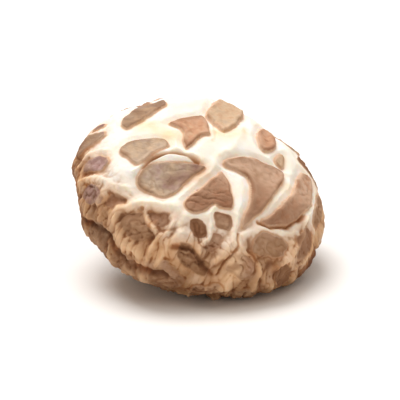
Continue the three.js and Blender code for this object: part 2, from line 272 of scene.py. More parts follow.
def spread(values: np.ndarray, faces: np.ndarray, rounds: int) -> np.ndarray:
    """Even out values over a mesh by averaging each vertex's neighbours.

    Args:
        values: One number for each vertex.
        faces: Rows of three vertex numbers.
        rounds: How many times.

    Returns:
        The evened values.
    """
    weight = np.maximum(2.0 * np.bincount(faces.ravel(), minlength=len(values)), 1.0)
    for _ in range(rounds):
        near = values[faces]
        total = np.zeros(len(values))
        for k in range(3):
            total += np.bincount(faces[:, k], near[:, (k + 1) % 3] + near[:, (k + 2) % 3], len(values))
        values = total / weight
    return values


def store(piece: bpy.types.Object, name: str, values: np.ndarray) -> None:
    """Keep one number for each vertex under a name that materials can read.

    Args:
        piece: The mesh object.
        name: The attribute's name.
        values: One number for each vertex.
    """
    attribute = piece.data.attributes.new(name, "FLOAT", "POINT")
    attribute.data.foreach_set("value", values.astype(np.float32))


def mount(piece: bpy.types.Object, material: bpy.types.Material) -> None:
    """Give a piece its material and tie it to the mushroom's solid.

    Args:
        piece: The mesh object.
        material: Its material.
    """
    piece.data.materials.append(material)
    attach(piece, BODY)
    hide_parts(NODE)


def stitch(counts: Sequence[int], starts: Sequence[int]) -> Iterator[tuple[int, int, int]]:
    """Join rings of different counts with triangles that face out.

    Args:
        counts: Number of vertices of each ring, all evenly spaced from angle 0.
        starts: Number of the first vertex of each ring.

    Yields:
        Triangles as three vertex numbers.
    """
    for ring in range(len(counts) - 1):
        inner, outer = counts[ring], counts[ring + 1]
        base, rim = starts[ring], starts[ring + 1]
        i = j = 0
        while i < inner or j < outer:
            if j < outer and (i == inner or (j + 1) * inner <= (i + 1) * outer):
                yield (base + i % inner, rim + j, rim + (j + 1) % outer)
                j += 1
            else:
                yield (base + i, rim + j % outer, base + (i + 1) % inner)
                i += 1


# The mushroom's form


@dataclass(frozen=True)
class Lie:
    """How the cap lies: the place and lean of its axis, with the middle of its widest ring as origin."""

    centre: tuple[float, float, float] = (0.225, -0.46, 14.6)
    lean: float = math.radians(25.5)
    bearing: float = math.radians(-49.4)
    spin: float = math.radians(-10.3)

    def turn(self) -> np.ndarray:
        """Work out how the cap is turned.

        Returns:
            The rotation from the cap's own axes to the world's, as a matrix.
        """

        def about_z(angle: float) -> np.ndarray:
            """Rotate about the upright axis."""
            c, s = math.cos(angle), math.sin(angle)
            return np.array([[c, -s, 0.0], [s, c, 0.0], [0.0, 0.0, 1.0]])

        c, s = math.cos(self.lean), math.sin(self.lean)
        about_y = np.array([[c, 0.0, s], [0.0, 1.0, 0.0], [-s, 0.0, c]])
        return about_z(self.bearing) @ about_y @ about_z(self.spin - self.bearing)

    def place(self, points: np.ndarray) -> np.ndarray:
        """Carry points from the cap's own frame to the world.

        Args:
            points: Rows of x, y and z in millimetres in the cap's frame.

        Returns:
            The same points in the world, in metres, none below the surface that it rests on.
        """
        world = (points @ self.turn().T + np.array(self.centre)) * MM
        world[:, 2] = np.maximum(world[:, 2], 0.0)
        return world


@dataclass(frozen=True)
class CapForm:
    """The cap's outer form: a dome, a margin and a rolled-in rim, swept round its axis."""

    radius: float = 24.4
    dome: float = 12.2
    margin: float = 8.0
    rim_radius: float = 15.5
    curl_radius: float = 2.2
    curl_turn: float = math.radians(150.0)
    steps: int = 240
    lobes: tuple[tuple[float, float, float], ...] = ((2, 0.012, 1.57), (3, 0.005, 1.0), (5, 0.005, 2.36))
    swells: tuple[tuple[float, float, float, float], ...] = (
        (0.35, 0.21, 0.12, 0.8),
        (0.25, 0.27, -0.33, 2.1),
    )
    swell_fade: tuple[float, float] = (30.0, 40.0)
    wave_height: float = 0.55
    wave_count: int = 4
    wave_phase: float = 1.1
    wave_from: float = 26.0
    wave_to: float = 43.0
    droop: float = 3.2
    droop_bearing: float = -2.3
    droop_from: float = 24.0
    droop_to: float = 40.0

    def meridian(self) -> tuple[np.ndarray, np.ndarray]:
        """Draw the meridian from the apex to the end of the rolled-in rim.

        Returns:
            Its points as rows of radius and height, and their distances from the apex along it.
        """
        quarter = np.linspace(0.0, math.pi / 2.0, self.steps + 1)
        curl = np.linspace(0.0, self.curl_turn, self.steps + 1)[1:]
        dome = np.stack([self.radius * np.sin(quarter), self.dome * np.cos(quarter)], axis=1)
        flank_radius = self.rim_radius + (self.radius - self.rim_radius) * np.cos(quarter[1:])
        flank = np.stack([flank_radius, -self.margin * np.sin(quarter[1:])], axis=1)
        curl_height = -self.margin + self.curl_radius * (1.0 - np.cos(curl))
        rim = np.stack([self.rim_radius - self.curl_radius * np.sin(curl), curl_height], axis=1)
        points = np.concatenate([dome, flank, rim])
        along = np.concatenate([[0.0], np.cumsum(np.linalg.norm(np.diff(points, axis=0), axis=1))])
        return points, along

    def stretch(self, bearing: np.ndarray) -> np.ndarray:
        """Give how much wider or narrower than round the cap is, as a factor, at a bearing."""
        return 1.0 + sum(share * np.cos(count * bearing + phase) for count, share, phase in self.lobes)

    def swell(self, u: np.ndarray, v: np.ndarray) -> np.ndarray:
        """Give the height of the skin's low swells at places (u, v) of its flat map."""
        waves = (high * np.sin(per_u * u + per_v * v + phase) for high, per_u, per_v, phase in self.swells)
        return (1.0 - smoothstep(*self.swell_fade, np.hypot(u, v))) * sum(waves)

    def rim_wave(self, distance: np.ndarray, bearing: np.ndarray) -> np.ndarray:
        """Work out the slow rise and dip of the rim.

        Args:
            distance: Distance from the apex along the skin.
            bearing: Bearing round the cap's axis.

        Returns:
            How far each place rises, negative where it droops.
        """
        share = smoothstep(self.wave_from, self.wave_to, distance)
        wave = self.wave_height * share * np.sin(self.wave_count * bearing + self.wave_phase)
        side = np.maximum(np.cos(bearing - self.droop_bearing), 0.0) ** 2
        return wave - self.droop * smoothstep(self.droop_from, self.droop_to, distance) * side

    def skin(self, distance: np.ndarray, bearing: np.ndarray, lift: np.ndarray) -> np.ndarray:
        """Place points on the skin.

        Args:
            distance: Distance from the apex along the skin.
            bearing: Bearing round the cap's axis.
            lift: How far each point stands out along the skin's normal.

        Returns:
            Rows of x, y and z in the cap's frame.
        """
        points, along = self.meridian()
        run = np.gradient(points, along + np.arange(len(along)) * 1e-9, axis=0)
        run /= np.linalg.norm(run, axis=1)[:, None]
        radius, height = (np.interp(distance, along, points[:, k]) for k in (0, 1))
        normal_out, normal_up = np.interp(distance, along, -run[:, 1]), np.interp(distance, along, run[:, 0])
        out = lift + self.swell(distance * np.cos(bearing), distance * np.sin(bearing))
        reach = (radius + out * normal_out) * self.stretch(bearing)
        return around(reach, bearing, height + out * normal_up + self.rim_wave(distance, bearing))


# The skin's plates


class Tone(Enum):
    """Tones of the dried skin, as places on the skin's colour scale."""

    UMBER = 0.04
    BROWN = 0.2
    WARM = 0.36
    RUST = 0.52
    TAN = 0.68
    GREY = 0.84
    PLUM = 1.0


@dataclass(frozen=True)
class Plate:
    """One plate of skin between cracks, as an outline on the flat map of the skin.

    A place (u, v) on the map is a distance from the apex along the skin, u towards the cap's own
    x axis and v towards its y axis.
    """

    tone: Tone
    outline: Outline
    rise: float = 1.0
    shrivel: float = 0.35
    # How much darker the plate is made
    darkness: float = 0.0


FRONT_PLATES: dict[str, Plate] = {
    "crown_west": Plate(Tone.RUST, ((-11.2, 3.8), (-8.9, 6), (-7, 7.4), (-5, 8.6), (-4, 7.4), (-3.2, 5),
        (-2.5, 2.2), (-3.7, 1.6), (-4.4, -0.4), (-5.3, -3.2), (-6, -3.9), (-6.7, -2), (-7.4, 1),
        (-8, 2.6), (-9.2, 3.2)), shrivel=0.15),
    "crown_north": Plate(Tone.TAN, ((-4.7, 9), (-4.3, 14.5), (-3.2, 20.5), (2.4, 20.5), (2.2, 15),
        (1.5, 9), (0.5, 6), (-0.4, 4.4), (-2, 6), (-3.6, 7.6)), shrivel=0.2, darkness=0.08),
    "crown_far_west": Plate(Tone.GREY, ((-19.7, 4.5), (-18.8, 8), (-17.6, 11), (-15.9, 13.6), (-13.2, 14),
        (-12.5, 10.2), (-14.2, 7.6), (-15.2, 5), (-16.8, 2.2), (-17.8, -0.2), (-19.2, 0.4), (-19.8, 2.4)),
        shrivel=0.3, darkness=0.4),
    "shoulder_west": Plate(Tone.GREY, ((-28.8, -3.8), (-27.9, -1.4), (-26.6, 0), (-24.6, 0.5), (-22.4, 0),
        (-21.7, -1.6), (-23.2, -2.8), (-25.4, -4), (-27.4, -5.3)), shrivel=0.4, darkness=0.35),
    "chip_west": Plate(Tone.PLUM, ((-26.2, 1.7), (-24.8, 4), (-23.2, 3.2), (-22.9, 1.7), (-24.4, 1.5)),
        rise=0.8, shrivel=0.2, darkness=0.45),
    "bar_west": Plate(Tone.GREY, ((-17.7, -6.6), (-16.8, -4.4), (-14.6, -3), (-12.2, -1.9), (-10, -2.1),
        (-9, -3.4), (-9.6, -5.2), (-10.8, -6.8), (-12.2, -9.5), (-13.4, -10.8), (-15, -10.2),
        (-16.6, -8.8), (-17.6, -7.8)), shrivel=0.25, darkness=0.1),
    "shoulder_plum": Plate(Tone.PLUM, ((-26.2, -9.4), (-24.6, -7.4), (-22, -7.4), (-20.2, -8.2),
        (-18.7, -10.2), (-19.8, -12.2), (-21.8, -11.7), (-24, -10.9))),
    "almond": Plate(Tone.GREY, ((-12.8, -13.2), (-12.5, -11), (-11, -9.2), (-8.6, -8.1), (-5.6, -7.2),
        (-3.4, -6.5), (-0.9, -6.2), (-1.5, -7.8), (-2.7, -9.6), (-3.6, -11.6), (-4.2, -13.4), (-5, -15.1),
        (-6.4, -16.2), (-9.2, -16.4), (-11.2, -15.9), (-12.5, -14.9)), rise=0.75, shrivel=0.4),
    "wedge": Plate(Tone.WARM, ((2, -6), (3.6, -7.5), (4.8, -9.5), (5.8, -11.7), (6.5, -14), (4.4, -14.4),
        (2.6, -14.6), (1.6, -16.2), (0.2, -17.4), (-1.7, -17.4), (-2.7, -16.2), (-2, -14.2), (-0.6, -12),
        (0.5, -9.4), (1.4, -7.4)), rise=0.8, shrivel=0.45),
    "wing": Plate(Tone.WARM, ((1.3, -4.2), (3, -1.9), (4.8, -0.2), (6.6, 0.8), (8.8, 1.4), (11.6, 2.8),
        (13.7, 2.8), (14.1, 1), (13.6, -1.6), (12.9, -4.2), (12.4, -7), (11.9, -9.6), (11.4, -11.6),
        (10.6, -13), (10.1, -14.8), (9.3, -16.3), (8.8, -14.6), (8.8, -11.6), (8.4, -9), (7.8, -6.7),
        (6.5, -5.1), (4.4, -4.5), (2.6, -4.9)), shrivel=0.2),
    "blade_east": Plate(Tone.WARM, ((16.9, 5), (17.2, 8), (18.4, 9.4), (20.2, 8.8), (21.2, 6), (21.4, 2),
        (20.9, -1.2), (19.6, -4.4), (18.6, -7.4), (17.2, -9.6), (15.2, -11.6), (13.4, -12.7),
        (11.9, -12.8), (13.4, -10.6), (14, -8.4), (15, -5), (16.2, -1.6), (16.7, 2)), shrivel=0.35),
    "crown_east": Plate(Tone.RUST, ((6.1, 8), (5.9, 12), (6.6, 16.4), (9.4, 16), (10.3, 12.2), (10.3, 9),
        (9.5, 6), (8.3, 4.6), (7.1, 5.4)), shrivel=0.2),
    "chip_east": Plate(Tone.TAN, ((10.9, 5), (11.4, 8.4), (12.6, 8.6), (13.6, 5.4), (13.2, 4), (11.6, 4)),
        rise=0.6, shrivel=0.1),
    "slate": Plate(Tone.BROWN, ((12.7, -14.7), (15.4, -13), (18, -11.8), (20, -12.2), (19.4, -15.4),
        (16.6, -18), (13.4, -19.2), (12.2, -17.8)), rise=0.5, shrivel=0.4),
    "pit_south": Plate(Tone.UMBER, ((-0.4, -18.6), (1.4, -17.6), (3.1, -18.6), (3.8, -20), (3.1, -21.8),
        (1.7, -22.1), (0, -20.7)), rise=-0.25, shrivel=0.8),
    "pit_south_east": Plate(Tone.BROWN, ((3.3, -15.3), (6.7, -14.7), (7.6, -16.4), (7.8, -18.2),
        (5.8, -18.5), (4.3, -18), (3.4, -16.6)), rise=0.15, shrivel=0.8),
    "pit_low": Plate(Tone.WARM, ((4.7, -19), (7, -19.1), (7.4, -21), (6.7, -23), (4.9, -23.5),
        (4.4, -21)), rise=-0.2, shrivel=0.8),
    "hollow": Plate(Tone.WARM, ((-8.8, -19.9), (-7, -19.4), (-4.2, -18.8), (-3.9, -20.7), (-4.9, -22.5),
        (-7, -21.9), (-8, -21)), rise=-1.1, shrivel=0.5),
    "low_west": Plate(Tone.BROWN, ((-13.8, -21.6), (-11.8, -20.1), (-9.4, -19.8), (-8.4, -21.4),
        (-6.6, -22.8), (-5.4, -23.5), (-6.6, -25.2), (-9, -25.8), (-11.6, -24.8), (-13.2, -23.2)),
        rise=-0.2, shrivel=0.5),
    "red_chip": Plate(Tone.WARM, ((-18.9, -18.9), (-17.8, -17.4), (-16, -16.6), (-14.3, -17.4),
        (-13.4, -19), (-15.2, -20.2), (-17.6, -20)), rise=-0.4, shrivel=0.4),
    "plum_low": Plate(Tone.PLUM, ((-25, -14.4), (-23, -13.6), (-20.8, -14.2), (-18.2, -17.2),
        (-19.6, -18.7), (-22.4, -18.2), (-24.2, -16.8)), rise=0.2, shrivel=0.9),
    "chip_far_east": Plate(Tone.WARM, ((21.6, -5), (25, -5.4), (26.4, -8.4), (25.4, -12.4), (22.4, -12.6),
        (20.6, -9)), rise=0.4, shrivel=0.7),
    "shoulder_east": Plate(Tone.BROWN, ((22.6, 7.6), (24.6, 7), (25.8, 1.4), (25, -3.4), (22.4, -3.2),
        (22.3, 3)), rise=0.7, shrivel=0.6),
    "low_east": Plate(Tone.BROWN, ((20.6, -15.6), (24.2, -14.6), (26, -17), (23.6, -20.4), (20, -19.4)),
        rise=0.3, shrivel=0.8, darkness=0.35),
    "low_south_east": Plate(Tone.WARM, ((9, -21), (12, -20.2), (15.4, -20), (16.6, -23.4), (12.8, -25.2),
        (9.4, -24.4)), rise=0.2, shrivel=0.7),
    "low_south": Plate(Tone.BROWN, ((-1.4, -23.2), (1.6, -23.2), (4, -24.8), (7.4, -25), (7.6, -27.6),
        (3, -28.4), (0, -27)), rise=-0.5, shrivel=0.9),
}


class Fold(Enum):
    """Kinds of stroke on the skin: a raised pale fold, a sunken one darkened with painted shade, or a stain
    on bare flesh.
    """

    RIDGE = 1
    CREASE = -1
    STAIN = 0


@dataclass(frozen=True)
class Stroke:
    """One fold of the skin, drawn as a path on the flat map."""

    kind: Fold
    path: Outline
    width: float
    height: float
    tint: float


STROKES: dict[str, Stroke] = {
    "almond_lip": Stroke(Fold.RIDGE, ((-13.5, -12.4), (-12.6, -9.7), (-11.3, -7.4), (-9.9, -5.7),
        (-8, -4.7), (-5.8, -4.4), (-4, -5.1), (-2.4, -5.6)), 0.55, 0.6, 0.3),
    "almond_fold": Stroke(Fold.CREASE, ((-12.3, -11), (-11.5, -8.7), (-10, -6.8), (-8, -5.6),
        (-5.8, -5.2), (-4, -5.8), (-2.6, -6.1)), 0.3, 0.45, 0.7),
    "almond_edge": Stroke(Fold.CREASE, ((-10.8, -9.1), (-8.4, -8), (-5.6, -7), (-3.4, -6.4)), 0.25,
        0.2, 0.4),
    "brow": Stroke(Fold.RIDGE, ((-14.2, -20.4), (-12, -19), (-9.5, -18.4), (-6.5, -17.9), (-3.7, -17.4)),
        0.95, 0.95, 1.4),
    "hollow_side": Stroke(Fold.RIDGE, ((-3.4, -17.4), (-3, -20), (-3.5, -22.6), (-4.9, -24)), 0.65,
        0.5, 0.75),
    "facet_west": Stroke(Fold.RIDGE, ((-14.6, -20.2), (-15, -22.2), (-13.5, -24.8), (-10.4, -26.6),
        (-7.6, -27.6)), 1.05, 0.6, 0.8),
    "facet_cross": Stroke(Fold.RIDGE, ((-8.9, -19.4), (-8.2, -21.4), (-6.4, -22.6), (-4.9, -23.6)), 0.4,
        0.35, 0.3),
    "left_fold": Stroke(Fold.CREASE, ((-29.5, -13.5), (-26.8, -18.6), (-23.2, -21.6), (-19.5, -23.2),
        (-16.5, -24.9), (-13.6, -27.4), (-10.5, -29.2), (-5.5, -30.4), (-1, -31)), 0.6, 0.9, 0.9),
    "left_lip": Stroke(Fold.RIDGE, ((-30, -18.6), (-25.6, -23), (-21, -25.8), (-17.6, -27.6),
        (-14.6, -30), (-10.6, -31.8), (-5, -33)), 1.3, 0.6, 0.4),
    "wedge_wrinkle": Stroke(Fold.CREASE, ((-1.9, -14.6), (-0.4, -13.5), (1.3, -13.9), (2.8, -13),
        (4.8, -13.4)), 0.2, 0.22, 0.6),
    "wedge_wrinkle_low": Stroke(Fold.CREASE, ((-2.3, -15.9), (-0.8, -15.1), (0.6, -15.5), (1.7, -14.9)),
        0.2, 0.2, 0.6),
    "wedge_wrinkle_high": Stroke(Fold.CREASE, ((-1.1, -12.4), (0.4, -11.7), (2.1, -12.1), (3.8, -11.2),
        (5, -11.6)), 0.18, 0.16, 0.5),
    "almond_stain": Stroke(Fold.CREASE, ((-6.4, -12.4), (-4.2, -10.2), (-2, -7.6)), 1.7, 0.05, 0.5),
    "lobe_stain": Stroke(Fold.STAIN, ((-15.5, 2.5), (-12.5, 1.4), (-9.5, -0.2)), 2.2, 0.0, 1.0),
    "star_stain": Stroke(Fold.STAIN, ((-1, 3.4), (1.4, 4.4), (3, 7.5)), 1.8, 0.0, 1.0),
    "pit_wall": Stroke(Fold.RIDGE, ((3.2, -14.8), (2.8, -16.6), (4.1, -18.6), (4.2, -21), (3.7, -23.6)),
        0.5, 0.5, 0.7),
    "pit_east": Stroke(Fold.RIDGE, ((7.6, -14.6), (8.4, -18), (8.3, -21.6), (7.5, -24)), 0.6, 0.45, 0.8),
    "slate_brow": Stroke(Fold.RIDGE, ((10.4, -17.2), (12, -14.8), (15, -12.5), (18.4, -11), (20.4, -8)),
        0.55, 0.45, 0.45),
    "slate_corner": Stroke(Fold.CREASE, ((11.6, -17.4), (12.6, -19.2), (14.6, -19.6)), 0.4, 0.4, 0.7),
    "blade_edge": Stroke(Fold.CREASE, ((11.6, -13.2), (13.6, -12.9), (15.4, -11.8), (17.4, -9.8),
        (18.8, -7.2), (20, -4)), 0.35, 0.5, 0.8),
    "east_rib": Stroke(Fold.RIDGE, ((21, -4.6), (22.4, -9), (21.4, -13.6), (19.6, -17.6)), 0.5, 0.5, 0.5),
    "far_east_rib": Stroke(Fold.RIDGE, ((24.2, -3.8), (26.6, -7.5), (26, -12), (24.6, -14)), 0.5,
        0.45, 0.5),
    "middle_rib": Stroke(Fold.RIDGE, ((-1.8, -18), (-2, -20), (-1.3, -22)), 0.75, 0.3, 0.9),
    "east_stain": Stroke(Fold.STAIN, ((15.2, 0), (13.7, -4), (11.8, -9)), 0.9, 0.0, 0.5),
    "low_rib": Stroke(Fold.RIDGE, ((-6.2, -22.8), (-5.4, -25), (-6, -28)), 0.55, 0.55, 0.8),
    "low_middle_rib": Stroke(Fold.RIDGE, ((-0.8, -21.4), (-2.4, -24), (-3, -27), (-3.6, -29)), 0.65,
        0.6, 0.8),
    "low_crease": Stroke(Fold.CREASE, ((-1.8, -25), (0.4, -24.2), (2.6, -24.6), (4.4, -26.2), (8, -26.6)),
        0.5, 0.7, 0.8),
    "low_east_crease": Stroke(Fold.CREASE, ((9.4, -17.4), (10.2, -20), (9.4, -22), (8.8, -26)), 0.3,
        0.4, 0.5),
    "low_east_rib": Stroke(Fold.RIDGE, ((8.8, -19.6), (11.6, -19.6), (15, -19.4), (17.4, -21.4)), 0.5,
        0.35, 0.5),
    "plum_rib": Stroke(Fold.RIDGE, ((-26.4, -12), (-22.8, -12.8), (-19, -14.2), (-16.8, -16.2),
        (-13, -18)), 0.6, 0.5, 0.6),
    "plum_brow": Stroke(Fold.RIDGE, ((-28.6, -8), (-26.4, -6.4), (-23.6, -6), (-20.6, -6.6)), 0.55,
        0.4, 0.8),
    "chip_brow": Stroke(Fold.RIDGE, ((-20.4, -18.2), (-18.6, -16.4), (-16, -15.4), (-13.4, -16.4)), 0.6,
        0.5, 0.8),
    "blade_rib": Stroke(Fold.RIDGE, ((22, 7), (22, 2), (21.5, -2), (20.5, -5)), 0.5, 0.35, 0.7),
    "slate_rib": Stroke(Fold.RIDGE, ((20.6, -11.6), (20.2, -15), (18.6, -18.6)), 0.5, 0.45, 0.3),
    "south_east_apron": Stroke(Fold.RIDGE, ((9.6, -18.8), (10.6, -21.5), (11.6, -24.5), (12.4, -28)), 1.9,
        0.3, 1.2),
    "star": Stroke(Fold.RIDGE, ((-1.4, -9.6), (0.2, -5.6), (1.6, -1.5)), 1.1, 0.35, 0.0),
    "crown_seam": Stroke(Fold.CREASE, ((-2.6, 7.4), (-1.8, 3.6), (-1.4, 0.4)), 0.3, 0.2, 0.12),
    "crown_rib": Stroke(Fold.RIDGE, ((2.2, 9.8), (3, 4.4), (2.4, 0.2), (1, -2.6)), 0.8, 0.3, 0.5),
}


@dataclass
class PlateRule:
    """The seeded rule that fills the cap's sides and back with plates, each round a seed of its own."""

    rings: tuple[tuple[float, int], ...] = ((11, 8), (18, 13), (25, 17), (32.5, 19))
    jitter: float = 1.5
    reach: float = 4.6
    corners: int = 9
    crack: float = 1.3
    smallest: float = 7.0
    last: float = 38.0
    bare: tuple[tuple[float, float, float], ...] = (
        (-11.5, 7, 6), (-19.5, -2, 2.5), (4.5, 10, 2.6), (0, 2, 5), (-15, -12, 3), (-23, 11, 5), (-17, 18, 4)
    )
    state: int = 20

    def draw(self) -> float:
        """Draw the next number from 0 to 1."""
        self.state = (self.state * 1664525 + 1013904223) % 2**32
        return self.state / 2**32

    def seeds(self, front: Sequence[np.ndarray]) -> list[np.ndarray]:
        """Place the seeds clear of the front plates and of the crown's bare flesh.

        Args:
            front: Outlines of the front plates.

        Returns:
            Places on the flat map.
        """
        found = []
        for distance, count in self.rings:
            start = self.draw() * TURN
            for i in range(count):
                bearing = start + i / count * TURN
                u = distance * math.cos(bearing) + (self.draw() - 0.5) * 2.0 * self.jitter
                v = distance * math.sin(bearing) + (self.draw() - 0.5) * 2.0 * self.jitter
                seed = np.array([u, v])
                bare = any(math.hypot(u - x, v - y) < radius for x, y, radius in self.bare)
                clear = all(inside_depth(outline, seed[None])[0] < -self.crack - 1.0 for outline in front)
                if clear and not bare and math.hypot(u, v) < self.last:
                    found.append(seed)
        return found

    def outlines(self, front: Sequence[np.ndarray]) -> list[np.ndarray]:
        """Draw the plates: discs with corners, cut back from each other and from the front plates.

        Args:
            front: Outlines of the front plates.

        Returns:
            Outlines on the flat map.
        """
        seeds = self.seeds(front)
        found = []
        for seed in seeds:
            angle = np.arange(self.corners) / self.corners * TURN
            cell = seed + self.reach * np.stack([np.cos(angle), np.sin(angle)], axis=1)
            for other in seeds:
                if other is not seed:
                    cell = self.cut(cell, seed, (seed + other) / 2.0, self.crack / 2.0)
            for outline in front:
                cell = self.cut(cell, seed, nearest_on(outline, seed), self.crack)
            if len(cell) > 2 and area(cell) > self.smallest:
                found.append(cell)
        return found

    def cut(self, cell: np.ndarray, seed: np.ndarray, point: np.ndarray, gap: float) -> np.ndarray:
        """Cut a plate back square to the way from its seed to a point.

        Args:
            cell: The plate's outline.
            seed: Its seed.
            point: A point that it must keep clear of.
            gap: How far before the point it ends.

        Returns:
            What is left of the outline.
        """
        normal = (point - seed) / np.linalg.norm(point - seed)
        off = (cell - point + normal * gap) @ normal
        kept = []
        for i, corner in enumerate(cell):
            after = (i + 1) % len(cell)
            if off[i] <= 0.0:
                kept.append(corner)
            if off[i] * off[after] < 0.0:
                kept.append(corner + (cell[after] - corner) * off[i] / (off[i] - off[after]))
        return np.array(kept).reshape(-1, 2)


def area(outline: np.ndarray) -> float:
    """Give the area inside an outline, positive where it runs anticlockwise."""
    after = np.roll(outline, -1, axis=0)
    return float(np.sum(outline[:, 0] * after[:, 1] - after[:, 0] * outline[:, 1]) / 2.0)


def nearest_on(outline: np.ndarray, place: np.ndarray) -> np.ndarray:
    """Find the point of an outline that is nearest to a place.

    Args:
        outline: Its corners.
        place: The place, as u and v.

    Returns:
        The point, as u and v.
    """
    run = np.roll(outline, -1, axis=0) - outline
    share = np.clip(np.sum((place - outline) * run, axis=1) / np.sum(run * run, axis=1), 0.0, 1.0)
    points = outline + run * share[:, None]
    return points[np.argmin(np.linalg.norm(points - place, axis=1))]


def near_path(path: np.ndarray, places: np.ndarray) -> np.ndarray:
    """Measure how far places are from a path.

    Args:
        path: Its corners.
        places: Rows of u and v.

    Returns:
        Distances to the path.
    """
    away = np.full(len(places), np.inf)
    for start, end in zip(path[:-1], path[1:]):
        run = end - start
        share = np.clip((places - start) @ run / (run @ run), 0.0, 1.0)
        away = np.minimum(away, np.linalg.norm(places - start - share[:, None] * run, axis=1))
    return away


def inside_depth(outline: np.ndarray, places: np.ndarray) -> np.ndarray:
    """Measure how deep places lie inside an outline.

    Args:
        outline: Its corners.
        places: Rows of u and v.

    Returns:
        Distances to the outline, positive inside and negative outside.
    """
    away = near_path(np.concatenate([outline, outline[:1]]), places)
    within = np.zeros(len(places), dtype=bool)
    u, v = places.T
    for start, end in zip(outline, np.roll(outline, -1, axis=0)):
        run = end - start
        if run[1] != 0.0:
            crosses = (start[1] > v) != (end[1] > v)
            within ^= crosses & (u < start[0] + (v - start[1]) / run[1] * run[0])
    return np.where(within, away, -away)


# How much of each side a rounded corner takes from a plate's outline and from a stroke's path
PLATE_CUT = 0.18
PATH_CUT = 0.25
ROUNDS = 2


def soften(outline: np.ndarray) -> np.ndarray:
    """Round an outline's corners by cutting them, again and again.

    Args:
        outline: Its corners.

    Returns:
        The rounded outline.
    """
    keep = 1.0 - PLATE_CUT
    for _ in range(ROUNDS):
        after = np.roll(outline, -1, axis=0)
        sides = [outline * keep + after * PLATE_CUT, outline * PLATE_CUT + after * keep]
        outline = np.stack(sides, axis=1).reshape(-1, 2)
    return outline


def bend(path: np.ndarray) -> np.ndarray:
    """Round a path's corners and keep its ends.

    Args:
        path: Its corners.

    Returns:
        The rounded path.
    """
    keep = 1.0 - PATH_CUT
    for _ in range(ROUNDS):
        sides = [path[:-1] * keep + path[1:] * PATH_CUT, path[:-1] * PATH_CUT + path[1:] * keep]
        path = np.concatenate([path[:1], np.stack(sides, axis=1).reshape(-1, 2), path[-1:]])
    return path


HIDDEN_TONES = (Tone.BROWN, Tone.WARM, Tone.GREY, Tone.UMBER, Tone.RUST, Tone.TAN)
# How many of its widths a stroke is followed for
STROKE_REACH = 3.0


@dataclass
class Skin:
    """All plates and folds of the skin, and how a place of the skin lies to them."""

    rule: PlateRule = field(default_factory=PlateRule)
    farthest: float = 3.5
    # Least value and spread of a hidden plate's rise, shrivelling and darkness
    hidden_wear: tuple[tuple[float, float], ...] = ((0.3, 0.4), (0.3, 0.6), (0.0, 0.35))
    outlines: list[np.ndarray] = field(init=False)
    tones: np.ndarray = field(init=False)
    rises: np.ndarray = field(init=False)
    shrivels: np.ndarray = field(init=False)
    darknesses: np.ndarray = field(init=False)

    def __post_init__(self) -> None:
        """Gather the front plates and those of the rule, with the tone and the wear of each."""
        front = [np.array(plate.outline, dtype=float) for plate in FRONT_PLATES.values()]
        hidden = self.rule.outlines(front)
        drawn = FRONT_PLATES.values()
        traits = [(plate.tone.value, plate.rise, plate.shrivel, plate.darkness) for plate in drawn]
        for _ in hidden:
            tone = HIDDEN_TONES[int(self.rule.draw() * len(HIDDEN_TONES))].value
            wear = [least + more * self.rule.draw() for least, more in self.hidden_wear]
            traits.append((tone, *wear))
        self.outlines = [soften(outline) for outline in front + hidden]
        self.tones, self.rises, self.shrivels, self.darknesses = np.array(traits).T

    def depth(self, places: np.ndarray) -> tuple[np.ndarray, np.ndarray]:
        """Measure each place against the plate that it is in or nearest to.

        Args:
            places: Rows of u and v.

        Returns:
            How deep each place lies in that plate, negative outside, and the plate's number.
        """
        best = np.full(len(places), -self.farthest)
        number = np.zeros(len(places), dtype=int)
        for index, outline in enumerate(self.outlines):
            low, high = outline.min(axis=0) - self.farthest, outline.max(axis=0) + self.farthest
            near = np.flatnonzero(np.all((places > low) & (places < high), axis=1))
            found = inside_depth(outline, places[near])
            better = found > best[near]
            best[near[better]] = found[better]
            number[near[better]] = index
        return best, number

    def folds(self, places: np.ndarray, patchy: np.ndarray) -> tuple[np.ndarray, dict[Fold, np.ndarray]]:
        """Add up the strokes at each place.

        Args:
            places: Rows of u and v.
            patchy: How strongly a stroke shows at each place, about 1.

        Returns:
            The lift that they give, and how strongly each kind of stroke marks the skin.
        """
        lift = np.zeros(len(places))
        marks = {kind: np.zeros(len(places)) for kind in Fold}
        for stroke in STROKES.values():
            path = bend(np.array(stroke.path, dtype=float))
            reach = STROKE_REACH * stroke.width
            low, high = path.min(axis=0) - reach, path.max(axis=0) + reach
            near = np.flatnonzero(np.all((places > low) & (places < high), axis=1))
            weight = bell(0.0, stroke.width, near_path(path, places[near])) * patchy[near]
            lift[near] += stroke.kind.value * stroke.height * weight
            marks[stroke.kind][near] = np.maximum(marks[stroke.kind][near], stroke.tint * weight)
        return lift, marks


# Sub-assemblies


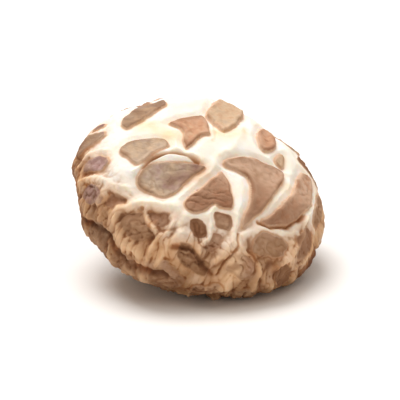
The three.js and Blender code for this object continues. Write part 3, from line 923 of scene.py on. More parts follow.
class Lumps(Enum):
    """Noise fields of the cap's skin, each with the width of a lump in millimetres and its own number."""

    WANDER_WIDE_U = (2.3, 1)
    WANDER_WIDE_V = (2.3, 2)
    WANDER_FINE_U = (0.8, 3)
    WANDER_FINE_V = (0.8, 4)
    WRINKLE_BEND = (2.6, 7)
    WRINKLE = (1.9, 8)
    THREAD = (0.85, 9)
    PLATE = (1.3, 10)
    FLANK_START = (6.0, 11)
    PLEAT_BEND = (4.0, 12)
    PLEAT = (1.0, 13)
    HEAVE = (6.5, 14)
    KNOB = (2.2, 15)
    GRAIN = (0.7, 16)
    AGE_START = (5.0, 17)
    BELT_X = (4.5, 18)
    BELT_Y = (4.5, 19)
    BELT_Z = (4.5, 20)
    FLANK_LUMP = (4.4, 21)
    RIM_START = (4.0, 22)
    PLEAT_SHARE = (7.0, 23)
    BLUR = (3.2, 24)
    PUCKER = (2.0, 25)
    PINCH = (0.95, 26)
    FLESH_TONE = (5.0, 27)
    FLANK_SHARE = (7.5, 28)
    STROKE_SHARE = (1.9, 29)
    BURN = (3.0, 30)
    SPECKLE = (1.2, 31)
    EDGE_BURN = (3.4, 32)


@dataclass
class Survey:
    """Places on the cap's outer skin, and how each lies to the plates and the strokes.

    A spot is a place in the cap's frame without relief, and low goes from 0 on the crown to 1 on the
    flank.
    """

    distance: np.ndarray
    bearing: np.ndarray
    spots: np.ndarray
    low: np.ndarray
    depth: np.ndarray = field(init=False)
    number: np.ndarray = field(init=False)
    fold: np.ndarray = field(init=False)
    strokes: dict[Fold, np.ndarray] = field(init=False)

    def measure(self, skin: Skin) -> None:
        """Measure the places against plates and strokes, whose outlines wander more on the flank.

        Args:
            skin: The plates and the strokes.
        """
        wide = self.lumps(Lumps.WANDER_WIDE_U, Lumps.WANDER_WIDE_V)
        fine = self.lumps(Lumps.WANDER_FINE_U, Lumps.WANDER_FINE_V)
        wander = (0.22 + 0.25 * self.low)[:, None] * wide + (0.06 + 0.12 * self.low)[:, None] * fine
        u, v = self.distance * np.cos(self.bearing), self.distance * np.sin(self.bearing)
        place = np.stack([u, v], axis=1)
        self.depth, self.number = skin.depth(place + wander)
        patchy = self.patches(Lumps.STROKE_SHARE, 0.9, 0.5, 0.5, 1.15)
        self.fold, self.strokes = skin.folds(place + 1.1 * wander, patchy)

    def lumps(self, *fields: Lumps) -> np.ndarray:
        """Give one noise field at the spots, or several side by side."""
        found = [noise(self.spots, *each.value) for each in fields]
        return found[0] if len(found) == 1 else np.stack(found, axis=1)

    def patches(self, kind: Lumps, middle: float, swing: float, low: float, high: float) -> np.ndarray:
        """Vary a strength from patch to patch.

        Args:
            kind: The noise field of the patches.
            middle: The strength where the noise is 0.
            swing: How much it changes with the noise.
            low: The least strength.
            high: The greatest strength.

        Returns:
            The strength at each spot.
        """
        return np.clip(middle + swing * self.lumps(kind), low, high)

    def rolled(self, girth: float, squeeze: float) -> np.ndarray:
        """Roll the flank out as an upright tube, for lumps that are longer down it than round it.

        Args:
            girth: Radius of the tube.
            squeeze: How many times longer the lumps become.

        Returns:
            Places on the tube.
        """
        return around(np.full(len(self.distance), girth), self.bearing, self.distance / squeeze)

    def border(self, start: float, end: float, sway: float, kind: Lumps) -> np.ndarray:
        """Ease in down the skin, along a border that wanders by about 2 mm.

        Args:
            start: Distance from the apex where it starts.
            end: Distance from the apex where it is done.
            sway: How much nearer the apex that is in front, and farther behind.
            kind: The noise field of the border.

        Returns:
            The share at each place, from 0 to 1.
        """
        swayed = self.distance + sway * np.cos(self.bearing - FRONT_BEARING)
        return smoothstep(start, end, swayed + 2.0 * self.lumps(kind))


@dataclass
class Cap:
    """The cap: its skin and flesh outside, the rolled-in rim, and the flesh above the gills."""

    form: CapForm
    lie: Lie
    skin: Skin
    step: float = 0.155
    coarse_step: float = 0.7
    plate_rise: float = 0.62
    plate_rise_low: float = 0.4
    plate_curl: float = 0.2
    plate_dish: float = 0.3
    crack_swell: float = 0.5
    groove_depth: float = 0.06
    wrinkle_depth: float = 0.3
    thread_depth: float = 0.12
    wrinkle_bend: float = 0.6
    lump_height: float = 1.15
    pucker_height: float = 0.7
    pinch_height: float = 0.2
    flank_sink: float = 0.45
    belt_radius: float = 24.0
    belt_bend: float = 1.1
    pleat_height: float = 0.5
    pleat_radius: float = 10.5
    pleat_bend: float = 0.35
    heave_height: float = 0.65
    # Distances from the apex where each of these starts and where it is whole
    flank_look: tuple[float, float] = (13.0, 27.0)
    plates_lower: tuple[float, float] = (8.0, 31.0)
    plates_flatten: tuple[float, float] = (31.0, 38.0)
    crumple_start: tuple[float, float] = (21.0, 30.0)
    pleats_start: tuple[float, float] = (24.0, 35.0)
    heave_start: tuple[float, float] = (8.0, 24.0)
    # Browning towards the rim with ageing, and painted shade of the lower side
    age_and_shade_start: tuple[float, float] = (20.0, 29.5)
    rim_start: tuple[float, float] = (25.0, 33.0)
    # The belt in front where browner plates get painted shade: where it darkens and where it ends
    shade_belt_start: tuple[float, float] = (3.0, 14.0)
    shade_belt_end: tuple[float, float] = (15.0, 19.0)
    # Heights of knobs and grain on the crown, and how much more they have on the flank
    knob_height: tuple[float, float] = (0.05, 0.17)
    grain_height: tuple[float, float] = (0.02, 0.05)
    # Each, for painted shade in hollows and painted highlight on crests: rounds of evening out, least and
    # full depth in mm, how dark a hollow is, how pale a crest
    hollow_shade_and_crest_light: tuple[tuple[int, float, float, float, float], ...] = (
        (14, 0.03, 0.19, 0.65, 0.15),
        (70, 0.05, 0.5, 0.5, 0.5),
    )
    # Radius and height of the inside of the rim and of the flesh above the gills
    roof: tuple[tuple[float, float], ...] = (
        (16.0, -3.2), (18.2, -2.0), (19.4, -0.2), (19.0, 1.7), (17.0, 2.5), (9.0, 2.6), (2.0, 2.6)
    )
    # Names of the bands and the share of the vertices where each starts
    bands: tuple[tuple[str, float], ...] = (("cap_crown", 0.0), ("cap_flank", 0.3), ("cap_rim", 0.65))

    def outer_rings(self) -> tuple[np.ndarray, np.ndarray, list[int]]:
        """Spread vertices evenly over the outer skin.

        Returns:
            Their distances from the apex and bearings, and how many each ring has.
        """
        points, along = self.form.meridian()
        rings = np.linspace(0.0, along[-1], round(along[-1] / self.step) + 1)[1:]
        radii = np.interp(rings, along, points[:, 0])
        counts = [ring_count(radius, self.step) for radius in radii]
        distance = np.concatenate([[0.0]] + [np.full(count, ring) for ring, count in zip(rings, counts)])
        bearing = np.concatenate([[0.0]] + [np.arange(count) / count * TURN for count in counts])
        return distance, bearing, counts

    def raise_plates(self, at: Survey) -> tuple[np.ndarray, np.ndarray, np.ndarray]:
        """Raise the plates of skin, curl their edges up and shrivel them.

        Args:
            at: The places.

        Returns:
            Their lift, how far a place is in from a plate's edge, and the painted shade in its wrinkles and
            in the groove at a plate's foot.
        """
        down = smoothstep(*self.plates_lower, at.distance)
        height = self.plate_rise + (self.plate_rise_low - self.plate_rise) * down
        flattened = 1.0 - 0.7 * smoothstep(*self.plates_flatten, at.distance)
        rise = height * self.skin.rises[at.number] * flattened
        edge = smoothstep(-0.3, 0.5, at.depth)
        curl = self.plate_curl * bell(0.65, 0.45, at.depth)
        curl -= self.plate_dish * smoothstep(0.8, 3.0, at.depth) * (1.0 - at.low)
        lift = rise * (edge + curl * np.sign(rise))
        # The flesh of a crack swells a little, away from the groove at the foot of a plate
        lift += self.crack_swell * smoothstep(0.1, 1.8, -at.depth) * (1.0 - 0.7 * at.low)
        groove = bell(0.02, 0.2, at.depth)
        lift -= self.groove_depth * groove

        inward = smoothstep(0.2, 0.9, at.depth)
        shrivel = self.skin.shrivels[at.number]
        bent = at.spots + self.wrinkle_bend * at.lumps(Lumps.WRINKLE_BEND)[:, None]
        wrinkle = ridges(noise(bent, *Lumps.WRINKLE.value), 0.32)
        thread = ridges(at.lumps(Lumps.THREAD), 0.4)
        lift -= inward * shrivel * (self.wrinkle_depth * wrinkle + self.thread_depth * thread)
        lift += inward * (0.04 + 0.16 * shrivel) * at.lumps(Lumps.PLATE)
        # Painted shade in the wrinkles' troughs and in the groove at the foot of a raised plate
        return lift, inward, np.maximum(0.5 * inward * shrivel * wrinkle, 0.4 * groove * (rise > 0.2))

    def crumple_flank(self, at: Survey, inward: np.ndarray) -> tuple[np.ndarray, np.ndarray, np.ndarray]:
        """Crumple the flank into lumps, puckers and pinches, and pleat it towards the rim.

        Args:
            at: The places.
            inward: How far each is in from a plate's edge, where the flank crumples less.

        Returns:
            The lift, the painted shade in the valleys and the pleats' grooves, and how brown the flesh has
            dried between the crests.
        """
        drawn = at.number < len(FRONT_PLATES)
        share = at.border(*self.crumple_start, 5.0, Lumps.FLANK_START)
        share *= 1.0 - 0.5 * inward - 0.2 * inward * drawn
        share *= 1.0 - 0.6 * np.clip(at.strokes[Fold.RIDGE], 0.0, 1.0)
        share *= at.patches(Lumps.FLANK_SHARE, 0.7, 0.9, 0.25, 1.0)
        bend = self.belt_bend * at.lumps(Lumps.BELT_X, Lumps.BELT_Y, Lumps.BELT_Z)
        belt = at.rolled(self.belt_radius, 1.5) + bend
        lumps = np.abs(noise(belt, *Lumps.FLANK_LUMP.value))
        puckers = np.abs(noise(belt + 0.4 * at.spots, *Lumps.PUCKER.value))
        pinches = np.abs(at.lumps(Lumps.PINCH))
        lift = self.lump_height * lumps + (0.3 + lumps) * self.pucker_height * puckers
        lift = share * (lift + self.pinch_height * pinches - self.flank_sink)
        valley = np.maximum(bell(0.0, 0.07, lumps), 0.6 * bell(0.0, 0.07, puckers))
        crest = smoothstep(0.22, 0.6, lumps + 0.5 * puckers)

        tube = at.rolled(self.pleat_radius, 7.5) + self.pleat_bend * at.lumps(Lumps.PLEAT_BEND)[:, None]
        pleats = noise(tube, *Lumps.PLEAT.value)
        pleated = smoothstep(*self.pleats_start, at.distance)
        pleated *= at.patches(Lumps.PLEAT_SHARE, 0.5, 1.0, 0.1, 1.0)
        lift -= self.pleat_height * pleated * ridges(pleats, 0.25)
        # Painted shade in the valleys between the lumps and in the pleats' grooves
        dark = 0.6 * np.maximum(share * valley, pleated * ridges(pleats, 0.16))
        return lift, dark, share * (1.0 - 0.8 * crest)

    def relief(self, distance: np.ndarray, bearing: np.ndarray) -> tuple[np.ndarray, dict[str, np.ndarray]]:
        """Work out the skin's relief and the marks that its material reads.

        Args:
            distance: Distance from the apex of each vertex.
            bearing: Bearing of each vertex.

        Returns:
            The lift along the normal, and marks from 0 to 1 under their names.
        """
        spots = self.form.skin(distance, bearing, np.zeros(len(distance)))
        at = Survey(distance, bearing, spots, low=smoothstep(*self.flank_look, distance))
        at.measure(self.skin)
        plate_lift, inward, plate_painted_shade = self.raise_plates(at)
        flank_lift, flank_painted_shade, brown = self.crumple_flank(at, inward)
        lift = plate_lift + flank_lift + at.fold
        lift += self.heave_height * smoothstep(*self.heave_start, distance) * at.lumps(Lumps.HEAVE)
        for kind, (height, more) in ((Lumps.KNOB, self.knob_height), (Lumps.GRAIN, self.grain_height)):
            lift += (height + more * at.low) * at.lumps(kind)

        blur = 0.08 + 0.14 * smoothstep(0.0, 0.7, at.lumps(Lumps.BLUR)) + 0.2 * at.low
        skin = smoothstep(-0.5, 1.0, (at.depth - 0.12) / blur)
        tone = self.skin.tones[at.number]
        # Painted shade on the browner plates in a belt across the front, which faces down
        front = distance * np.cos(bearing - FRONT_BEARING)
        belt = 0.5 * smoothstep(*self.shade_belt_start, front) * (1.0 - smoothstep(*self.shade_belt_end, front))
        darkness = self.skin.darknesses[at.number] + belt * (tone < 0.6)
        # Painted shade just inside the edge of a plate
        painted_edge_shade = at.patches(Lumps.EDGE_BURN, 0.7, 1.2, 0.0, 1.4) * bell(0.2, 0.75, at.depth)
        # The dark mark: painted shade in creases, wrinkles, valleys, plate edges and the front, with darker
        # plates and speckles of the skin's own colour
        painted_shade_and_tone = (
            # Painted shade in the creases, and the almond's brown stain
            at.strokes[Fold.CREASE],
            plate_painted_shade,
            flank_painted_shade,
            0.5 * skin * painted_edge_shade * (1.0 - 0.5 * at.low),
            skin * darkness * at.patches(Lumps.BURN, 1.0, 0.5, 0.4, 1.4),
            0.25 * skin * smoothstep(0.0, 0.8, at.lumps(Lumps.SPECKLE)),
        )
        return lift, {
            "skin": np.maximum(skin, 0.8 * brown),
            "tone": np.where(skin > 0.5, tone, 0.15 + 0.2 * at.lumps(Lumps.FLESH_TONE)),
            # Paler at a plate's edge: its own pinkish tint, with painted highlight
            "edge": bell(0.1, 0.7, at.depth) * (at.number < len(FRONT_PLATES)) * (1.0 - at.low),
            "stain": at.strokes[Fold.STAIN],
            # Browner towards the rim and the front: ageing, with painted shade of the lower side
            "age": at.border(*self.age_and_shade_start, 4.0, Lumps.AGE_START),
            # Darker towards the rim: the skin's own browning, with painted shade of the underside
            "rim": at.border(*self.rim_start, 0.0, Lumps.RIM_START),
            "dark": np.clip(np.maximum.reduce(painted_shade_and_tone), 0.0, 1.0),
            # Pale folds of flesh, to which the painted highlight on crests is added later
            "pale": np.clip(at.strokes[Fold.RIDGE], 0.0, 1.0),
        }

    def paint_hollow_shade_and_crest_light(self, lift: np.ndarray, marks: dict[str, np.ndarray], faces: np.ndarray) -> None:
        """Paint shade into the hollows of the relief and a highlight onto its crests, most of all on the
        flank.

        Args:
            lift: How far each vertex stands out.
            marks: The marks of the vertices, of which "dark" takes the painted shade and "pale" the painted
                highlight.
            faces: The triangles between them.
        """
        share = np.clip(0.1 + marks["age"] + 0.25 * marks["skin"], 0.0, 1.0)
        level, done = lift, 0
        for rounds, low, high, darkest, palest in self.hollow_shade_and_crest_light:
            level, done = spread(level, faces, rounds - done), rounds
            # Painted shade where the surface lies below its evened-out level, painted highlight where it
            # stands above it
            hollow = level - lift
            marks["dark"] = np.maximum(marks["dark"], share * darkest * smoothstep(low, high, hollow))
            marks["pale"] = np.maximum(marks["pale"], share * palest * smoothstep(low, high, -hollow))

    def build(self) -> list[bpy.types.Object]:
        """Build the cap's surface and cut it into bands, from the crown to the flesh above the gills.

        Returns:
            The bands' mesh objects, which meet without a visible seam.
        """
        distance, bearing, counts = self.outer_rings()
        lift, marks = self.relief(distance, bearing)
        blocks = [self.form.skin(distance, bearing, lift)]
        line = self.roof_line()
        sag = 1.0 - smoothstep(0.0, 6.0, np.arange(len(line)) * self.coarse_step)
        for (radius, height), share in zip(line, sag):
            count = ring_count(radius, self.coarse_step)
            angle = np.arange(count) / count * TURN
            level = height + share * self.form.rim_wave(np.full(count, distance[-1]), angle)
            blocks.append(around(radius * self.form.stretch(angle), angle, level))
            counts.append(count)
        blocks.append(np.array([[0.0, 0.0, self.roof[-1][1]]]))
        points = self.lie.place(np.concatenate(blocks))
        counts = [1, *counts, 1]
        starts = np.concatenate([[0], np.cumsum(counts)])
        faces = np.array(list(stitch(counts, starts)))
        # Painted shade in the hollows, painted highlight on the crests
        self.paint_hollow_shade_and_crest_light(lift, marks, faces[faces.max(axis=1) < len(distance)])
        spare = len(points) - len(distance)
        for name, values in marks.items():
            marks[name] = np.concatenate([values, np.full(spare, 1.0 if name in ("age", "rim") else 0.0)])
        normals = corner_normals(points, faces)
        cuts = np.searchsorted(starts, [share * len(points) for _, share in self.bands] + [len(points)])
        pieces = []
        for (name, _), first, last in zip(self.bands, cuts[:-1], cuts[1:]):
            low, high = starts[first], starts[min(last + 1, len(starts) - 1)]
            band = faces[(faces.min(axis=1) >= low) & (faces.max(axis=1) < high)] - low
            piece = make_object(name, points[low:high], band)
            piece.data.normals_split_custom_set_from_vertices(normals[low:high].tolist())
            for mark, values in marks.items():
                store(piece, mark, values[low:high])
            pieces.append(piece)
        return pieces

    def roof_line(self) -> np.ndarray:
        """Draw the inside of the rim and the flesh above the gills, rounded off.

        Returns:
            Rows of radius and height, from the rolled-in rim inwards.
        """
        points, _ = self.form.meridian()
        corners = np.concatenate([points[-1:], np.array(self.roof)])
        knots = np.concatenate([[0.0], np.cumsum(np.linalg.norm(np.diff(corners, axis=0), axis=1))])
        at = np.arange(self.coarse_step, knots[-1], self.coarse_step)
        line = np.stack([np.interp(at, knots, corners[:, k]) for k in (0, 1)], axis=1)
        line[1:-1] = (line[:-2] + 2.0 * line[1:-1] + line[2:]) / 4.0
        return line


@dataclass
class Gills:
    """The gills: thin waved blades that fan out from the stem to the rim."""

    lie: Lie
    long_count: int = 60
    edge: float = -1.4
    root: float = 2.9
    outer: float = 19.2
    inner: float = 5.0
    half_start: float = 8.6
    quarter_start: float = 13.2
    thickness: float = 0.26
    # How thick a blade's edge is, as a share of its root
    taper: float = 0.6
    stations: int = 26
    # Depth of the nicks in a blade's edge, their width and number, and how differently blades get them
    nick_depth: float = 0.18
    nicks: tuple[float, int] = (1.6, 21)
    blade_gap: float = 3.7
    # How much a short blade's start varies, how far a blade waves, and how uneven the gaps are
    start_spread: tuple[float, float] = (-0.7, 1.2)
    wave_height: float = 0.16
    lean: float = 0.16
    random_seed: int = 7

    def build(self) -> list[bpy.types.Object]:
        """Build all blades as closed solids in one mesh.

        Returns:
            The mesh object, in a list.
        """
        random = np.random.default_rng(self.random_seed)
        count = self.long_count * 4
        points: list[np.ndarray] = []
        faces: list[tuple[int, ...]] = []
        shade: list[np.ndarray] = []
        for blade in range(count):
            starts = {0: self.inner, 2: self.half_start}
            start = starts.get(blade % 4, self.quarter_start)
            start += (blade % 4 > 0) * random.uniform(*self.start_spread)
            share = np.linspace(0.0, 1.0, self.stations)
            reach = start + (self.outer - start) * share
            wave = self.wave_height * np.sin(reach * random.uniform(0.7, 1.3) + random.uniform(0.0, TURN))
            angle = (blade + random.uniform(-self.lean, self.lean)) / count * TURN + wave / reach
            ends = np.minimum(smoothstep(0.0, 0.16, share) + (blade % 4 == 0) * 0.6, 1.0)
            bottom = self.root - (self.root - self.edge) * ends * (1.0 - 0.35 * smoothstep(0.8, 1.0, share))
            places = np.stack([reach, np.full_like(reach, blade * self.blade_gap), share], axis=1)
            bottom += self.nick_depth * noise(places, *self.nicks)
            side = np.stack([-np.sin(angle), np.cos(angle), np.zeros_like(angle)], axis=1)
            middle = around(reach, angle, np.zeros_like(angle))
            half = self.thickness / 2.0 * (0.55 + 0.45 * smoothstep(4.0, 11.0, reach))[:, None]
            low, high = np.zeros_like(middle), np.zeros_like(middle)
            low[:, 2], high[:, 2] = bottom, self.root
            corners = ((-1.0, high), (-self.taper, low), (self.taper, low), (1.0, high))
            ring = np.stack([middle + side * half * across + level for across, level in corners], axis=1)
            base = sum(len(block) for block in points)
            points.append(ring.reshape(-1, 3))
            # Painted light on a blade's free edge, painted shade at its root deep between blades
            shade.append(np.tile([0.0, 1.0, 1.0, 0.0], self.stations))
            for station in range(self.stations - 1):
                first = base + station * 4
                for k in range(4):
                    after = (k + 1) % 4
                    faces.append((first + k, first + after, first + 4 + after, first + 4 + k))
            last = base + (self.stations - 1) * 4
            faces.append((base + 3, base + 2, base + 1, base))
            faces.append((last, last + 1, last + 2, last + 3))
        piece = make_object("gills", self.lie.place(np.concatenate(points)), faces, smooth=False)
        store(piece, "lit", np.concatenate(shade))
        return [piece]


@dataclass
class Stem:
    """The short stem, fibrous along its length, bent a little towards its cut end."""

    lie: Lie
    top: float = 5.0
    length: float = 23.0
    radii: tuple[float, ...] = (6.5, 5.6, 5.0, 4.7, 4.8, 5.1, 5.4, 5.3)
    bend: float = 1.4
    flatness: float = 0.06
    sides: int = 180
    rings: int = 110
    end_rings: int = 14
    cut_rounds: int = 30
    fibre_height: float = 0.28
    groove_depth: float = 0.32
    thread_height: float = 0.07
    lump_height: float = 0.55
    # Noise fields, each with the width of a lump in millimetres and its own number
    fibre_bend: tuple[float, int] = (3.0, 30)
    fibres: tuple[float, int] = (0.8, 31)
    threads: tuple[float, int] = (0.28, 32)
    lumps: tuple[float, int] = (5.0, 33)
    pores: tuple[float, int] = (0.5, 34)
    dents: tuple[float, int] = (1.6, 35)
    # Radius of the tube that the fibres are drawn on, and how much longer than wide they are
    fibre_tube: float = 5.0
    fibre_stretch: float = 9.0
    # Mean height of the cut end's pores, how much they vary, and the highest
    pore_height: tuple[float, float, float] = (0.1, 0.12, 0.4)

    def build(self) -> list[bpy.types.Object]:
        """Build the stem's mesh, with its end cut level on the surface that it stands on.

        Returns:
            The mesh object, in a list.
        """
        angle = np.arange(self.sides) / self.sides * TURN
        turn, centre = self.lie.turn(), np.array(self.lie.centre)

        def wall(share: np.ndarray, at: np.ndarray) -> np.ndarray:
            """Place points of the smooth wall.

            Args:
                share: Shares of the stem's length.
                at: Angles round its axis.

            Returns:
                Rows of x, y and z in the cap's frame.
            """
            radius = np.interp(share * (len(self.radii) - 1), np.arange(len(self.radii)), self.radii)
            reach = radius * (1.0 + self.flatness * np.cos(2.0 * at + share))
            shift = self.bend * np.sin(share * math.pi / 2.0) ** 2
            wall_points = around(reach, at, self.top - share * self.length)
            wall_points[:, 0] += shift
            return wall_points

        # Each side runs down until it meets the floor
        cut = np.full(self.sides, 0.8)
        for _ in range(self.cut_rounds):
            height = wall(cut, angle) @ turn[2] + centre[2]
            cut += height / (self.length * turn[2, 2])
        share = np.linspace(0.0, 1.0, self.rings)[:, None] * cut[None, :]
        at = np.broadcast_to(angle, share.shape)
        smooth_wall = wall(share.ravel(), at.ravel())
        outward = around(np.ones(at.size), at.ravel(), np.zeros(at.size))
        along = share.ravel() * self.length
        tube = around(np.full(at.size, self.fibre_tube), at.ravel(), along / self.fibre_stretch)
        fibre = noise(tube + 0.25 * noise(smooth_wall, *self.fibre_bend)[:, None], *self.fibres)
        thread = noise(tube * np.array([1.0, 1.0, 0.6]), *self.threads)
        # The relief is weaker in the last millimetre before the cut
        fade = np.clip((cut[None, :] - share).ravel() * self.length, 0.0, 1.0)
        shape = self.fibre_height * fibre - self.groove_depth * ridges(fibre, 0.25)
        shape += self.thread_height * thread + self.lump_height * noise(smooth_wall, *self.lumps)
        blocks = [smooth_wall + outward * (shape * (0.35 + 0.65 * fade))[:, None]]
        foot = blocks[0][-self.sides :]
        middle = foot.mean(axis=0)
        for ring in range(1, self.end_rings):
            blocks.append(middle + (foot - middle) * (1.0 - ring / self.end_rings))
        blocks.append(middle[None])
        points = self.lie.place(np.concatenate(blocks))
        level = slice(self.rings * self.sides, None)
        pores = sum(noise(points[level] / MM, *each) for each in (self.pores, self.dents))
        mean, swing, highest = self.pore_height
        points[level, 2] = MM * np.clip(mean + swing * pores, 0.0, highest)
        counts = [self.sides] * (self.rings + self.end_rings - 1) + [1]
        starts = np.concatenate([[0], np.cumsum(counts)[:-1]])
        faces = list(stitch(counts, starts)) + [tuple(range(self.sides - 1, -1, -1))]
        piece = make_object("stem", points, faces)
        end = len(points) - fibre.size
        # Painted shade in the grooves between the fibres
        store(piece, "fibre", np.concatenate([0.7 * ridges(fibre, 0.3), np.zeros(end)]))
        store(piece, "cut", np.concatenate([np.zeros(fibre.size), np.ones(end)]))
        return [piece]


# Finishes


# What Blender's noise spans in practice, which the recipes stretch to the ranges that they need
NOISE_SPAN = (0.3, 0.7)


def per_metre(size_mm: float) -> float:
    """Give a noise's scale from the real width of its lumps."""
    return 1.0 / (size_mm * MM)


class Kind(Enum):
    """Kinds of node: Blender's type, its settings, the inputs that a recipe fills, and its output."""

    NOISE = ("ShaderNodeTexNoise", {}, ("Vector", "Scale", "Detail", "Roughness"), "Fac")
    RANGE = ("ShaderNodeMapRange", {}, ("Value", "From Min", "From Max", "To Min", "To Max"), "Result")
    ADD = ("ShaderNodeMath", {"operation": "ADD"}, (0, 1), 0)
    TIMES = ("ShaderNodeMath", {"operation": "MULTIPLY"}, (0, 1), 0)
    TIMES_ADD = ("ShaderNodeMath", {"operation": "MULTIPLY_ADD"}, (0, 1, 2), 0)
    SCALE = ("ShaderNodeValToRGB", {}, ("Fac",), "Color")
    MIX = ("ShaderNodeMix", {"data_type": "RGBA"}, (0, 6, 7), 2)
    SHADE = ("ShaderNodeMix", {"data_type": "RGBA", "blend_type": "MULTIPLY"}, (0, 6, 7), 2)
    POWER = ("ShaderNodeGamma", {}, ("Color", "Gamma"), "Color")
    BUMP = ("ShaderNodeBump", {}, ("Height", "Strength", "Distance"), "Normal")


Row = tuple[Any, ...]


def make_material(
    name: str, marks: Sequence[str], recipe: Sequence[Row], surface: dict[str, Any]
) -> bpy.types.Material:
    """Make a material from a recipe of nodes.

    A value is a number, a hex colour, or the name of a mark or of an earlier row. The name "place"
    stands for the object's own coordinates.

    Args:
        name: What the real material is.
        marks: The marks of the mesh that it reads.
        recipe: Rows of a name, a kind of node, and a value for each input of that kind.
        surface: Values for the inputs of the surface shader.

    Returns:
        The material.
    """
    material = bpy.data.materials.new(name)
    material.use_nodes = True
    tree = material.node_tree
    found: dict[str, bpy.types.NodeSocket] = {}
    if recipe:
        found["place"] = add_node(tree, "ShaderNodeTexCoord", {}, {}).outputs["Object"]
    for mark in marks:
        found[mark] = add_node(tree, "ShaderNodeAttribute", {"attribute_name": mark}, {}).outputs["Fac"]

    def look_up(value: Any) -> Any:
        """Turn a value of a recipe into a socket, a linear colour or a number."""
        if not isinstance(value, str):
            return value
        return linear(value) if value.startswith("#") else found[value]

    for row_name, kind, *values in recipe:
        node_type, settings, inputs, output = kind.value
        links = {key: look_up(value) for key, value in zip(inputs, values, strict=True)}
        found[row_name] = add_node(tree, node_type, settings, links).outputs[output]
    links = {key: look_up(value) for key, value in surface.items()}
    connect(tree, tree.nodes["Principled BSDF"], links)
    return material


